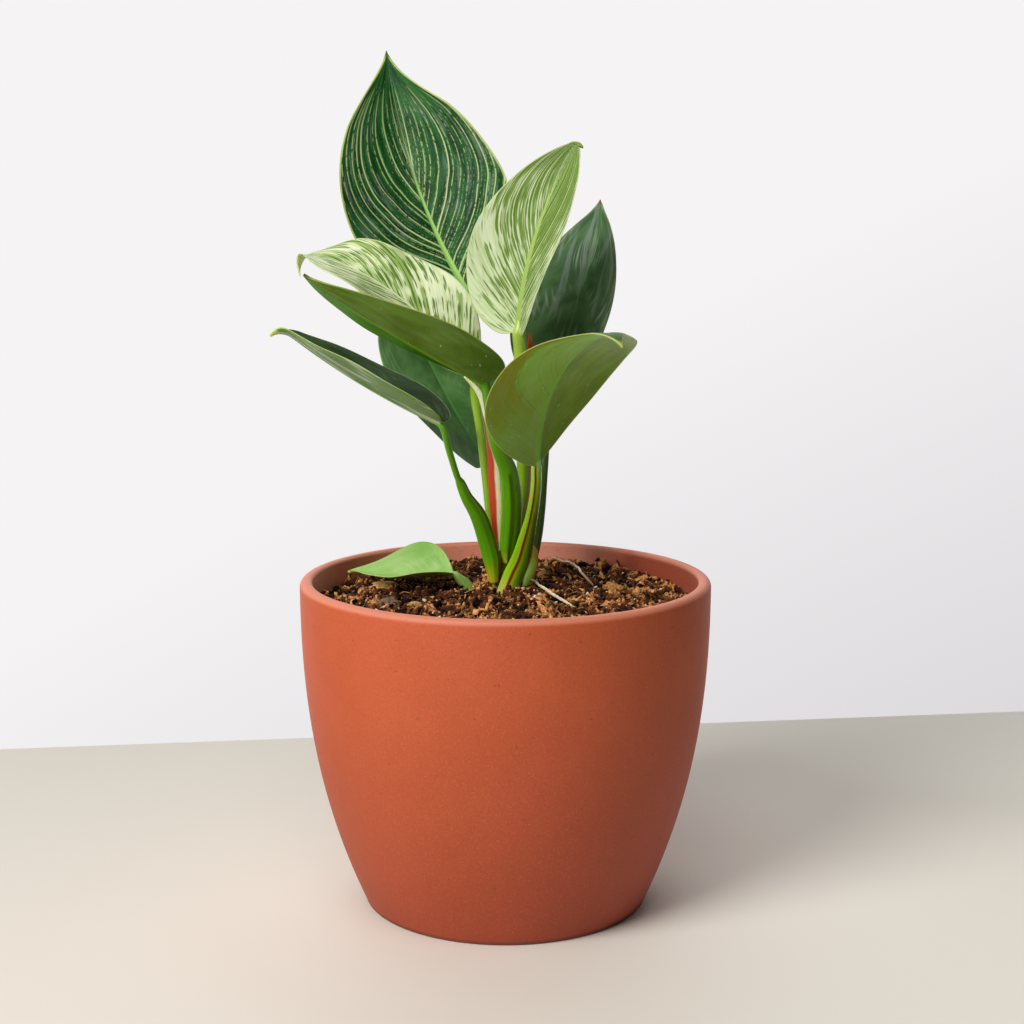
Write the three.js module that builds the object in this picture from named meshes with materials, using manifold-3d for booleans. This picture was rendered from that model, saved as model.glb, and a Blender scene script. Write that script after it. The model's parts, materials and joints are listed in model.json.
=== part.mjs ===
// Potted philodendron 'Birkin': a flared pot of plain matt clay colour, filled with bark-rich mix,
// and a young plant of eight leaves on sheathed stalks, with one small pale leaf low at its side.
// Millimetres, +Z up. The origin is the centre of the pot's flat underside, and -Y is the front.

import * as THREE from 'three';
import { mergeVertices } from 'three/addons/utils/BufferGeometryUtils.js';
import Module from 'manifold-3d';

const wasm = await Module();
wasm.setup();

// ---------------------------------------------------------------- driving dimensions

const GAP = 0.3;                    // clearance between pieces that touch

const POT_HEIGHT = 132;
const POT_RIM_RADIUS = 82;
const POT_FOOT_RADIUS = 57;
const POT_FLARE = 2.4;              // how strongly the side curves in towards the foot
const POT_WALL = 5;
const POT_FLOOR = 6;
const FOOT_CHAMFER = 1;
const POT_SEGMENTS = 48;
const WALL_STEPS = 5;               // steps of the curved side between foot and lip

const MIX_EDGE_LEVEL = 121;         // height of the potting mix at the wall
const MIX_MOUND = 2.5;              // rise towards the middle
const MIX_BACK_RISE = 3;            // extra rise along the back, between these two Y
const MIX_BACK_FROM = 20;
const MIX_BACK_TO = 70;
const MIX_LUMP = 1;                 // height of the lumps
const BROAD_LUMPS = [21.7, 19];     // length of the broad lumps along X and Y, and of the fine ones
const FINE_LUMPS = [15.7, 10.3];
const FINE_LUMP_SHARE = 0.7;
const LUMP_PHASE = 1.3;
const MIX_RINGS = 9;

const BLADE_THICKNESS = 0.8;
const BLADE_ROWS = 14;              // steps from the base of a blade to its tip
const BLADE_COLUMNS = 3;            // steps from the midrib to each margin
const ROW_BUNCHING = 0.6;           // how far the steps are drawn towards base and tip
const BASE_HALF_WIDTH = 1.4;        // a blade's least half width at its base and at its tip
const TIP_HALF_WIDTH = 0.4;
const NARROW_HALF_WIDTH = 5;        // below this a blade's walls turn level, so that they can't cross
const LOBE_REACH = 0.4;             // share of the midrib that the base lobes take up
const LOBE_RISE = 6;                // how soon the lobes start as the blade widens
const WAVES = 2.2;                  // waves of a margin between base and tip
const WAVE_PHASE = [0.25, 0.7];     // where the left and the right margin's waves start
const WAVE_RISE = 0.3;              // half width, as a share of the blade's, with waves at full height
const FRAME_STEPS = 200;            // fine steps that a midrib is bent in
const HOOK_START = 0.88;            // the tip's extra bend starts here along the midrib
const STALK_SIDES = 8;
const STALK_STEPS = 2;              // steps between two given points of a stalk

const BIT_KNOCK = 0.12;             // how far a chip or pebble is out of true
const BIT_WAVES = [5, 3, 4];        // how often it is, along X, Y and Z

const MERGE_DISTANCE = 1e-3;        // corners closer than this are one corner
const SIMPLIFY_DISTANCE = 0.03;     // what a cut solid may be smoothed by
const FLAT_CURL = 1e-6;             // keeps a flat blade's curl from being divided by zero

const COLOURS = {
  pot: 0xa4502f,
  mix: 0x4c3122,
  darkLeaf: 0x1f4a2b,
  creamLeaf: 0xbccf9b,
  oliveLeaf: 0x557327,
  paleLeaf: 0x9cc97a,
  stalk: 0x5fa02a,
  paleStalk: 0xb4cc6a,
  darkStalk: 0x3c6134,
  sheath: 0xe0c79a,
  redSheath: 0xb5482a,
  crown: 0x9a8a4c,
  root: 0xb8a070,
  bark: 0x9a6a33,
  pebble: 0x6d5a48,
};

// ---------------------------------------------------------------- the leaves
//
// A blade is bent along its midrib and folded across it. All angles are in degrees.
//   base        where the stalk meets the blade
//   heading     compass direction of the midrib at the base, from +X towards +Y
//   rise        its angle above the horizontal there; roll turns the blade about the midrib
//   arch        bend of the whole midrib away from the upper side; hook is the tip's extra bend
//   sweep       sideways bend of the midrib; twist turns the blade along its length
//   round, taper  fullness of the base, and how thinly the tip runs out
//   fold, cup   left and right: angle that each half leaves the midrib at, and its further curl
//   lobe, wave  mm that the base lobes reach back, and that the margins wave up and down
//
// A stalk is a list of points from the blade down to the crown: x, y, z, half width, half depth.

const LEAVES = [
  {
    name: 'tall_back', colour: COLOURS.darkLeaf, stalkColour: COLOURS.stalk,
    base: [-15, 42, 241.5], heading: 144.5, rise: 52.5, roll: -35.5, length: 114, width: 75,
    arch: -16, hook: -11, sweep: -19, twist: -1, round: 0.65, taper: 1.08,
    fold: [9, 25.5], cup: [8.5, 23], lobe: 1.5, wave: 1.2,
    stalk: [
      [-15, 42, 241, 1.8, 1.6],
      [-12.5, 40, 225, 1.9, 1.8],
      [-9.2, 36, 205, 2, 2],
      [-6.2, 31.5, 184, 2.1, 2],
      [-3.6, 27, 163, 2.2, 2.1],
      [-2.2, 23.5, 139.5, 2.3, 2.2],
    ],
  },
  {
    name: 'variegated_right', colour: COLOURS.creamLeaf, stalkColour: COLOURS.paleStalk,
    base: [5.5, 4, 229.5], heading: 13.5, rise: 87, roll: 31, length: 81.5, width: 52.5,
    arch: 34, hook: 10, sweep: -12, twist: 35, round: 0.46, taper: 0.98,
    fold: [7, 30], cup: [17, 18], lobe: 2.5, wave: 0.5,
    stalk: [
      [5.5, 4, 229, 2.8, 2.2],
      [6, 6, 222, 2.8, 2.4],
      [6.2, 10, 202, 2.8, 2.6],
      [7, 13, 181, 2.7, 2.6],
      [7.2, 15, 169, 2.6, 2.5],
      [6, 17, 156, 2.5, 2.4],
      [3.8, 19.5, 139.5, 2.3, 2.2],
    ],
  },
  {
    name: 'variegated_left', colour: COLOURS.creamLeaf, stalkColour: COLOURS.stalk,
    base: [-12.5, 10, 212.5], heading: 201.5, rise: 51, roll: -67.5, length: 108, width: 43,
    arch: 79.5, hook: 95, sweep: -18, twist: 20, round: 0.57, taper: 0.97,
    fold: [14.5, 13], cup: [13, 12.5], lobe: -1, wave: 1.6,
    stalk: [
      [-12.5, 10, 212, 1.8, 1.5],
      [-12.5, 10.5, 205, 1.8, 1.6],
      [-10.3, 12.5, 190, 1.8, 1.7],
      [-8.4, 15, 174, 1.8, 1.8],
      [-7, 17, 160, 1.9, 1.9],
      [-4.8, 18.5, 139.5, 2, 2],
    ],
  },
  {
    name: 'left_upper', colour: COLOURS.oliveLeaf, stalkColour: COLOURS.stalk,
    base: [-8, -17, 211.5], heading: 219, rise: 23.5, roll: -2, length: 91, width: 46.5,
    arch: -7, hook: -9, sweep: 0, twist: 6, round: 0.46, taper: 1.05,
    fold: [15.5, 8], cup: [12, -5], lobe: 2.5, wave: 0.2,
    stalk: [
      [-8, -17, 211, 1.9, 1.7],
      [-6.6, -15.5, 204, 1.9, 1.9],
      [-4, -9.5, 188, 2.6, 2.2],
      [1, -2, 175, 3.7, 2.7],
      [2.4, 4, 162, 4.3, 3],
      [2, 9, 150, 4.2, 3],
      [1.2, 12, 142, 3.6, 2.8],
      [0.8, 14.5, 135, 2, 1.8],
    ],
  },
  {
    name: 'left_lower', colour: COLOURS.darkLeaf, stalkColour: COLOURS.stalk,
    base: [-25, -10, 194.5], heading: 158.5, rise: 20, roll: 9, length: 84, width: 40.5,
    arch: -14, hook: 65, sweep: -1, twist: -1, round: 0.44, taper: 0.9,
    fold: [23, 24], cup: [1, 2], lobe: 1.5, wave: 0.3,
    stalk: [
      [-25, -10, 194, 1.6, 1.5],
      [-22.2, -5, 183.5, 1.5, 1.5],
      [-19.3, 0, 173, 1.6, 1.6],
      [-15.6, 4, 163.5, 2.3, 1.9],
      [-11.3, 7, 156, 3.4, 2.1],
      [-7.6, 11, 144.5, 3.8, 2.4],
      [-5.6, 13, 136, 3.6, 2.5],
      [-4.6, 14.5, 126.5, 2, 2],
    ],
  },
  {
    name: 'front_right', colour: COLOURS.oliveLeaf, stalkColour: COLOURS.stalk,
    base: [12, -22, 179.5], heading: 269, rise: 67.5, roll: 59.5, length: 100.5, width: 59.5,
    arch: 66.5, hook: 51, sweep: -17.5, twist: -33, round: 0.89, taper: 1.17,
    fold: [-3, 9], cup: [-18.5, 6.5], lobe: 0.5, wave: 0.3,
    stalk: [
      [12, -22, 179, 2, 1.7],
      [12, -18, 173, 2.1, 1.9],
      [11.4, -12, 165, 2.2, 2],
      [10, -5, 155.5, 2.5, 2.1],
      [8.2, 1, 146.5, 3.3, 2.3],
      [6, 6, 137.5, 3.9, 2.5],
      [3.2, 9, 130.5, 4.2, 2.6],
      [0, 10.5, 122, 4, 2.4],
    ],
  },
  {
    name: 'back_left', colour: COLOURS.darkLeaf, stalkColour: COLOURS.darkStalk,
    base: [-9, 38, 172.5], heading: 148.5, rise: 54, roll: -6, length: 89, width: 56,
    arch: 8, hook: -6.5, sweep: -17, twist: -33, round: 0.55, taper: 0.84,
    fold: [11, 8], cup: [7, 5], lobe: 4.5, wave: -0.5,
    stalk: [
      [-9, 38, 172, 1.8, 1.7],
      [-6.8, 35, 163, 1.9, 1.9],
      [-3.4, 30, 151, 2, 2],
      [-0.5, 27, 139.5, 2.1, 2],
    ],
  },
  {
    name: 'back_right', colour: COLOURS.darkLeaf, stalkColour: COLOURS.darkStalk,
    base: [19.5, 34, 204.5], heading: 27, rise: 72, roll: 30.5, length: 84, width: 50,
    arch: 18, hook: -27.5, sweep: 12, twist: 10.5, round: 0.53, taper: 1.06,
    fold: [14.5, 20.5], cup: [10.5, 16.5], lobe: 3, wave: 0.3,
    stalk: [
      [19.5, 34, 204, 1.7, 1.6],
      [17, 31, 187.5, 1.7, 1.7],
      [15.8, 28, 171, 1.7, 1.7],
      [14.6, 26, 153.5, 1.7, 1.7],
      [13, 25, 142, 1.8, 1.8],
      [10.6, 23.5, 134, 2.2, 2],
      [6.6, 21.5, 125.5, 2.4, 2.2],
    ],
  },
  {
    name: 'small_low', colour: COLOURS.paleLeaf, stalkColour: COLOURS.paleLeaf,
    base: [-21.5, 15, 130.2], heading: 174, rise: -9.5, roll: -5.5, length: 46, width: 37,
    arch: -16, hook: 41.5, sweep: -18.5, twist: -15, round: 0.72, taper: 1.69,
    fold: [17, 20], cup: [13, 19.5], lobe: 0, wave: -0.2,
    stalk: [
      [-21, 15.1, 129.6, 1.4, 1],
      [-19.2, 15.4, 128, 1.9, 1.1],
      [-16.6, 16, 125.6, 2.4, 1.2],
      [-14, 17, 121, 2.8, 1.3],
    ],
  },
];

// Sheaths: thin bracts that wrap the stalks, from the free tip down to the crown.
const SHEATHS = [
  {
    name: 'sheath_cream', colour: COLOURS.sheath,
    points: [
      [-16.2, 1, 212, 0.4, 0.4],
      [-10.6, 3, 205.5, 1.1, 0.7],
      [-7.5, 5, 196.5, 1.4, 0.8],
      [-6.2, 7, 189, 1.6, 0.9],
      [-5.2, 9, 178.5, 2.1, 1],
      [-4.7, 10.5, 169, 2.4, 1],
      [-4.2, 11.5, 160, 2.4, 1],
      [-3.6, 13, 148, 1.8, 1],
      [-2.8, 14.5, 140.5, 1, 0.8],
    ],
  },
  {
    name: 'sheath_red', colour: COLOURS.redSheath,
    points: [
      [9.8, 8.5, 228.5, 0.5, 0.4],
      [9.8, 9.5, 222, 1.2, 0.7],
      [10, 11.5, 210, 1.3, 0.8],
      [10.2, 14, 193, 1.3, 0.8],
      [10.2, 16, 173, 1.4, 0.8],
      [9, 17.5, 158, 1.6, 0.9],
      [6.6, 19.5, 143, 1.2, 0.9],
    ],
  },
  {
    name: 'sheath_dry', colour: COLOURS.redSheath,
    points: [
      [11, 15.5, 141.5, 0.4, 0.4],
      [11.8, 17.5, 138.5, 1.3, 0.7],
      [11.6, 19, 134, 1.9, 0.8],
      [9.6, 18.5, 127.5, 1.9, 0.8],
      [7.2, 17.5, 121, 1.2, 0.8],
    ],
  },
];

// The crown is the short stem that the stalks grow from, standing in the mix.
const CROWN = [
  [-0.5, 20, 139, 3.4, 3.4],
  [-0.5, 20, 136, 4.4, 4.4],
  [-0.6, 20, 126, 5.2, 5.2],
  [-0.8, 20, 112, 5.8, 5.8],
  [-1, 20, 100, 3, 3],
];

// Two aerial roots run from the crown over the mix and dip into it.
const ROOTS = [
  {
    name: 'root_front',
    points: [
      [8, 24, 125.5, 0.8, 0.8],
      [12.5, 14.5, 126, 0.8, 0.8],
      [18.5, -3, 125.8, 0.9, 0.9],
      [23.5, -17.5, 125, 0.9, 0.9],
      [28, -23, 121.5, 0.8, 0.8],
    ],
  },
  {
    name: 'root_back',
    points: [
      [18.5, 63, 123.5, 0.8, 0.8],
      [22, 59, 127.5, 0.8, 0.8],
      [28, 49, 127.6, 0.9, 0.9],
      [31.5, 32, 126.4, 0.9, 0.9],
      [36.5, 25, 122.5, 0.8, 0.8],
    ],
  },
];

// Larger bits that lie half sunk in the mix: place, half sizes, turn in degrees.
const BITS = [
  {
    name: 'bark_chip_left', colour: COLOURS.bark,
    at: [-51, 24.5, 122.4], half: [5.5, 3.4, 2.2], turn: 24,
  },
  {
    name: 'bark_chip_front', colour: COLOURS.bark,
    at: [-35.5, -19.5, 123.2], half: [3.6, 2.4, 2.2], turn: 40,
  },
  {
    name: 'bark_chip_right', colour: COLOURS.bark,
    at: [44, 17, 123], half: [4.6, 3, 2.4], turn: -28,
  },
  {
    name: 'pebble', colour: COLOURS.pebble,
    at: [-46, -12, 122.8], half: [4.6, 3.8, 2.8], turn: 12,
  },
];

// ---------------------------------------------------------------- small helpers

const rad = THREE.MathUtils.degToRad;

function toSolid(geometry) {
  const bare = geometry.clone();
  bare.deleteAttribute('normal');
  bare.deleteAttribute('uv');
  const merged = mergeVertices(bare, MERGE_DISTANCE);
  const corners = merged.index.array;
  const kept = [];
  for (let i = 0; i < corners.length; i += 3) {
    const [a, b, c] = [corners[i], corners[i + 1], corners[i + 2]];
    if (a !== b && b !== c && c !== a) kept.push(a, b, c);
  }
  const mesh = new wasm.Mesh({
    numProp: 3,
    vertProperties: new Float32Array(merged.attributes.position.array),
    triVerts: new Uint32Array(kept),
  });
  return new wasm.Manifold(mesh);
}

function toGeometry(solid) {
  const mesh = solid.getMesh();
  const geometry = new THREE.BufferGeometry();
  geometry.setAttribute('position', new THREE.BufferAttribute(mesh.vertProperties, 3));
  geometry.setIndex(new THREE.BufferAttribute(mesh.triVerts, 1));
  geometry.computeVertexNormals();
  return geometry;
}

// Cuts the given tools from a solid and keeps its largest body, so that no loose scrap is left.
function carve(solid, tools) {
  let rest = solid;
  for (const tool of tools) rest = rest.subtract(tool);
  const bodies = rest.simplify(SIMPLIFY_DISTANCE).decompose();
  bodies.sort((a, b) => b.volume() - a.volume());
  return bodies[0];
}

// Joins closed rings of points, alike in number, into one closed solid. The first half of a ring
// and its second half lie opposite each other, and both are split along like diagonals.
function loft(rings) {
  const count = rings[0].length;
  const position = rings.flat().flatMap((p) => [p.x, p.y, p.z]);
  const index = [];
  const corner = (row, column) => row * count + (column % count);
  for (let row = 0; row < rings.length - 1; row += 1) {
    for (let column = 0; column < count; column += 1) {
      const a = corner(row, column);
      const b = corner(row, column + 1);
      const c = corner(row + 1, column + 1);
      const d = corner(row + 1, column);
      if (column < count / 2) index.push(a, b, c, a, c, d);
      else index.push(a, b, d, b, c, d);
    }
  }
  const last = rings.length - 1;
  for (let column = 0; column < count / 2 - 1; column += 1) {
    for (const row of [0, last]) {
      const a = corner(row, column);
      const b = corner(row, column + 1);
      const c = corner(row, count - 2 - column);
      const d = corner(row, count - 1 - column);
      if (row === 0) index.push(a, c, b, a, d, c);
      else index.push(a, b, c, a, c, d);
    }
  }
  if (enclosedVolume(position, index) < 0) index.reverse();
  const geometry = new THREE.BufferGeometry();
  geometry.setAttribute('position', new THREE.Float32BufferAttribute(position, 3));
  geometry.setIndex(index);
  return geometry;
}

function enclosedVolume(position, index) {
  const point = (i) => new THREE.Vector3().fromArray(position, 3 * index[i]);
  let volume = 0;
  for (let i = 0; i < index.length; i += 3) {
    volume += point(i).dot(point(i + 1).cross(point(i + 2))) / 6;
  }
  return volume;
}

// ---------------------------------------------------------------- shapes of growth

// A stalk, sheath, root or crown: an oval section swept through the given points.
function sweptSolid(points, extra = 0) {
  const curve = new THREE.CatmullRomCurve3(points.map((p) => new THREE.Vector3(p[0], p[1], p[2])));
  const steps = (points.length - 1) * STALK_STEPS;
  const rings = [];
  for (let i = 0; i <= steps; i += 1) {
    const t = i / steps;
    const centre = curve.getPoint(t);
    const along = curve.getTangent(t);
    const deep = new THREE.Vector3(0, 1, 0).addScaledVector(along, -along.y).normalize();
    const wide = new THREE.Vector3().crossVectors(deep, along);
    const place = Math.min(t * (points.length - 1), points.length - 1.000001);
    const from = points[Math.floor(place)];
    const to = points[Math.floor(place) + 1];
    const halfWidth = THREE.MathUtils.lerp(from[3], to[3], place % 1) + extra;
    const halfDepth = THREE.MathUtils.lerp(from[4], to[4], place % 1) + extra;
    const ring = [];
    for (let k = 0; k < STALK_SIDES; k += 1) {
      const angle = (2 * Math.PI * (k + 0.5)) / STALK_SIDES;
      ring.push(centre.clone()
        .addScaledVector(wide, halfWidth * Math.cos(angle))
        .addScaledVector(deep, halfDepth * Math.sin(angle)));
    }
    rings.push(ring);
  }
  shiftRing(rings[0], curve.getTangent(0), -extra);
  shiftRing(rings[steps], curve.getTangent(1), extra);
  return loft(rings);
}

function shiftRing(ring, direction, distance) {
  for (const point of ring) point.addScaledVector(direction, distance);
}

// The midrib's place and axes at every fine step: along the blade, up from its upper side, and
// across to its left.
function midribFrames(leaf) {
  const heading = rad(leaf.heading);
  const rise = rad(leaf.rise);
  const level = [Math.cos(heading), Math.sin(heading)];
  const along = new THREE.Vector3(Math.cos(rise) * level[0], Math.cos(rise) * level[1], Math.sin(rise));
  const up = new THREE.Vector3(-Math.sin(rise) * level[0], -Math.sin(rise) * level[1], Math.cos(rise));
  const left = new THREE.Vector3().crossVectors(up, along);
  const turn = (axis, angle, vectors) => vectors.forEach((v) => v.applyAxisAngle(axis.clone(), angle));
  turn(along, rad(leaf.roll), [up, left]);
  const place = new THREE.Vector3(...leaf.base);
  const step = 1 / FRAME_STEPS;
  const frames = [];
  for (let i = 0; i <= FRAME_STEPS; i += 1) {
    frames.push({ place: place.clone(), along: along.clone(), up: up.clone(), left: left.clone() });
    const hooked = (i + 0.5) * step > HOOK_START ? leaf.hook / (1 - HOOK_START) : 0;
    turn(left, rad(leaf.arch + hooked) * step, [along, up]);
    turn(up, rad(leaf.sweep) * step, [along, left]);
    turn(along, rad(leaf.twist) * step, [up, left]);
    place.addScaledVector(along, leaf.length * step);
  }
  return frames;
}

function bladeHalfWidth(leaf, s) {
  const widest = leaf.round / (leaf.round + leaf.taper);
  const outline = (s / widest) ** leaf.round * ((1 - s) / (1 - widest)) ** leaf.taper;
  return 0.5 * leaf.width * outline;
}

// A point of the blade's middle surface: s runs from base to tip, v from -1 (left) to 1 (right).
function bladePoint(leaf, frame, s, v, smallestHalf) {
  const side = v < 0 ? 0 : 1;
  const t = Math.abs(v);
  const half = Math.max(bladeHalfWidth(leaf, s), smallestHalf);
  const fold = rad(leaf.fold[side]);
  const cup = rad(leaf.cup[side]) + FLAT_CURL;
  const across = (half * (Math.sin(fold + cup * t) - Math.sin(fold))) / cup;
  const lift = (half * (Math.cos(fold) - Math.cos(fold + cup * t))) / cup;
  const nearBase = Math.max(0, 1 - s / LOBE_REACH) ** 2;
  const lobeShare = t * t * nearBase * Math.min(1, (LOBE_RISE * half) / leaf.width);
  const wave = Math.sin(2 * Math.PI * (WAVES * s + WAVE_PHASE[side]));
  const waveShare = t * t * wave * Math.min(1, half / (WAVE_RISE * leaf.width));
  return frame.place.clone()
    .addScaledVector(frame.left, side === 0 ? across : -across)
    .addScaledVector(frame.up, lift + leaf.wave * waveShare)
    .addScaledVector(frame.along, -leaf.lobe * lobeShare);
}

function bladeSolid(leaf, extra = 0) {
  const frames = midribFrames(leaf);
  const columns = 2 * BLADE_COLUMNS;
  const grid = [];
  const ups = [];
  const levelShares = [];
  for (let i = 0; i <= BLADE_ROWS; i += 1) {
    const even = i / BLADE_ROWS;
    const bunched = (1 - Math.cos(Math.PI * even)) / 2;
    const fine = Math.round(FRAME_STEPS * THREE.MathUtils.lerp(even, bunched, ROW_BUNCHING));
    const s = fine / FRAME_STEPS;
    const smallestHalf = THREE.MathUtils.lerp(BASE_HALF_WIDTH, TIP_HALF_WIDTH, s);
    levelShares.push(Math.max(0, 1 - bladeHalfWidth(leaf, s) / NARROW_HALF_WIDTH));
    ups.push(frames[fine].up);
    const row = [];
    for (let j = 0; j <= columns; j += 1) {
      row.push(bladePoint(leaf, frames[fine], s, (2 * j) / columns - 1, smallestHalf));
    }
    grid.push(row);
  }
  const clampRow = (i) => Math.min(Math.max(i, 0), BLADE_ROWS);
  const clampColumn = (j) => Math.min(Math.max(j, 0), columns);
  const rings = grid.map((row, i) => {
    const upper = [];
    const lower = [];
    for (let j = 0; j <= columns; j += 1) {
      const along = grid[clampRow(i + 1)][j].clone().sub(grid[clampRow(i - 1)][j]);
      const across = row[clampColumn(j + 1)].clone().sub(row[clampColumn(j - 1)]);
      const normal = across.clone().cross(along).normalize().lerp(ups[i], levelShares[i]).normalize();
      const outward = across.normalize().multiplyScalar(j === 0 ? -extra : j === columns ? extra : 0);
      const half = BLADE_THICKNESS / 2 + extra;
      upper.push(row[j].clone().addScaledVector(normal, half).add(outward));
      lower.push(row[j].clone().addScaledVector(normal, -half).add(outward));
    }
    return [...upper, ...lower.reverse()];
  });
  shiftRing(rings[0], frames[0].along, -extra);
  shiftRing(rings[BLADE_ROWS], frames[FRAME_STEPS].along, extra);
  return loft(rings);
}

// ---------------------------------------------------------------- pot and potting mix

const potRadius = (z) => POT_RIM_RADIUS
  - (POT_RIM_RADIUS - POT_FOOT_RADIUS) * (1 - z / POT_HEIGHT) ** POT_FLARE;

function wallHeights(from, to, steps) {
  return Array.from({ length: steps + 1 }, (_, i) => from + ((to - from) * i) / steps);
}

function lathe(profile, segments) {
  const geometry = new THREE.LatheGeometry(profile, segments);
  return geometry.rotateX(Math.PI / 2);
}

function potSolid() {
  const lip = POT_WALL / 2;
  const lipHeight = POT_HEIGHT - lip;
  const profile = [new THREE.Vector2(0, 0), new THREE.Vector2(POT_FOOT_RADIUS - FOOT_CHAMFER, 0)];
  for (const z of wallHeights(FOOT_CHAMFER, lipHeight, WALL_STEPS)) {
    profile.push(new THREE.Vector2(potRadius(z), z));
  }
  for (const angle of [45, 90, 135]) {
    const out = lip * Math.cos(rad(angle));
    profile.push(new THREE.Vector2(POT_RIM_RADIUS - lip + out, lipHeight + lip * Math.sin(rad(angle))));
  }
  for (const z of [lipHeight, ...wallHeights(MIX_EDGE_LEVEL, POT_FLOOR, WALL_STEPS)]) {
    profile.push(new THREE.Vector2(potRadius(z) - POT_WALL, z));
  }
  profile.push(new THREE.Vector2(0, POT_FLOOR));
  return toSolid(lathe(profile, POT_SEGMENTS));
}

// The mix's surface: a low mound, higher along the back, with lumps.
function mixHeight(x, y) {
  const reach = Math.hypot(x, y) / potRadius(MIX_EDGE_LEVEL);
  const mound = MIX_MOUND * (1 - reach * reach);
  const back = MIX_BACK_RISE * THREE.MathUtils.smoothstep(y, MIX_BACK_FROM, MIX_BACK_TO);
  const turn = 2 * Math.PI;
  const broadAcross = Math.sin((turn * x) / BROAD_LUMPS[0] + LUMP_PHASE);
  const broad = broadAcross * Math.cos((turn * y) / BROAD_LUMPS[1]);
  const fine = Math.sin(turn * (x / FINE_LUMPS[0] + y / FINE_LUMPS[1]));
  return MIX_EDGE_LEVEL + mound + back + MIX_LUMP * (broad + FINE_LUMP_SHARE * fine);
}

function mixSolid() {
  const profile = [new THREE.Vector2(0, POT_FLOOR + GAP)];
  for (const z of wallHeights(POT_FLOOR, MIX_EDGE_LEVEL, WALL_STEPS)) {
    profile.push(new THREE.Vector2(potRadius(z) - POT_WALL - GAP, Math.max(z, POT_FLOOR + GAP)));
  }
  const edge = profile[profile.length - 1].x;
  for (let ring = MIX_RINGS - 1; ring >= 0; ring -= 1) {
    profile.push(new THREE.Vector2((edge * ring) / MIX_RINGS, MIX_EDGE_LEVEL));
  }
  const geometry = lathe(profile, POT_SEGMENTS);
  const position = geometry.attributes.position;
  for (let i = 0; i < position.count; i += 1) {
    if (position.getZ(i) > MIX_EDGE_LEVEL - 0.01) {
      position.setZ(i, mixHeight(position.getX(i), position.getY(i)));
    }
  }
  return toSolid(geometry);
}

// A bark chip or pebble: a faceted lump, knocked out of true by a fixed formula.
function bitSolid(bit, extra = 0) {
  const geometry = new THREE.IcosahedronGeometry(1, 1);
  const position = geometry.attributes.position;
  for (let i = 0; i < position.count; i += 1) {
    const point = new THREE.Vector3().fromBufferAttribute(position, i);
    const level = Math.sin(BIT_WAVES[0] * point.x + BIT_WAVES[1] * point.y + bit.turn);
    const knock = 1 + BIT_KNOCK * level * Math.cos(BIT_WAVES[2] * point.z + bit.turn);
    position.setXYZ(
      i,
      point.x * (bit.half[0] * knock + extra),
      point.y * (bit.half[1] * knock + extra),
      point.z * (bit.half[2] * knock + extra),
    );
  }
  geometry.rotateZ(rad(bit.turn));
  geometry.translate(...bit.at);
  return toSolid(geometry);
}

// ---------------------------------------------------------------- assembly

const plant = new THREE.Group();

function place(name, solid, colour, roughness = 0.5) {
  const material = new THREE.MeshStandardMaterial({ color: colour, roughness, metalness: 0 });
  const mesh = new THREE.Mesh(toGeometry(solid), material);
  mesh.name = name;
  plant.add(mesh);
}

place('pot', potSolid(), COLOURS.pot, 0.7);

const crown = toSolid(sweptSolid(CROWN));
place('crown', crown, COLOURS.crown);

// Whatever is grown later keeps clear of what is there: each entry is a piece with its clearance.
const grown = [toSolid(sweptSolid(CROWN, GAP))];

for (const leaf of LEAVES) {
  place(`blade_${leaf.name}`, toSolid(bladeSolid(leaf)), leaf.colour, 0.4);
  grown.push(toSolid(bladeSolid(leaf, GAP)));
}
for (const leaf of LEAVES) {
  place(`stalk_${leaf.name}`, carve(toSolid(sweptSolid(leaf.stalk)), grown), leaf.stalkColour, 0.4);
  grown.push(toSolid(sweptSolid(leaf.stalk, GAP)));
}
for (const sheath of SHEATHS) {
  place(sheath.name, carve(toSolid(sweptSolid(sheath.points)), grown), sheath.colour, 0.5);
  grown.push(toSolid(sweptSolid(sheath.points, GAP)));
}
for (const root of ROOTS) {
  place(root.name, carve(toSolid(sweptSolid(root.points)), grown), COLOURS.root, 0.7);
  grown.push(toSolid(sweptSolid(root.points, GAP)));
}
for (const bit of BITS) {
  place(bit.name, bitSolid(bit), bit.colour, 0.8);
  grown.push(bitSolid(bit, GAP));
}
place('potting_mix', carve(mixSolid(), grown), COLOURS.mix, 0.9);

export default plant;
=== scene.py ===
"""A young philodendron 'Birkin' in a clay-coloured pot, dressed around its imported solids.

Shapes are worked out in millimetres in the row's frame (+Z up, the plant's front towards -Y) and
turned into metres when a mesh is made. Blades, stalks and sheaths are grown by their solids' own
rules, only finer, and keep within a few millimetres of them. The colours of materials are given as
they look on a screen, 0 to 255.
"""

import json
import math

import bpy
import numpy as np
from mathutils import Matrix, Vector, noise


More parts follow.
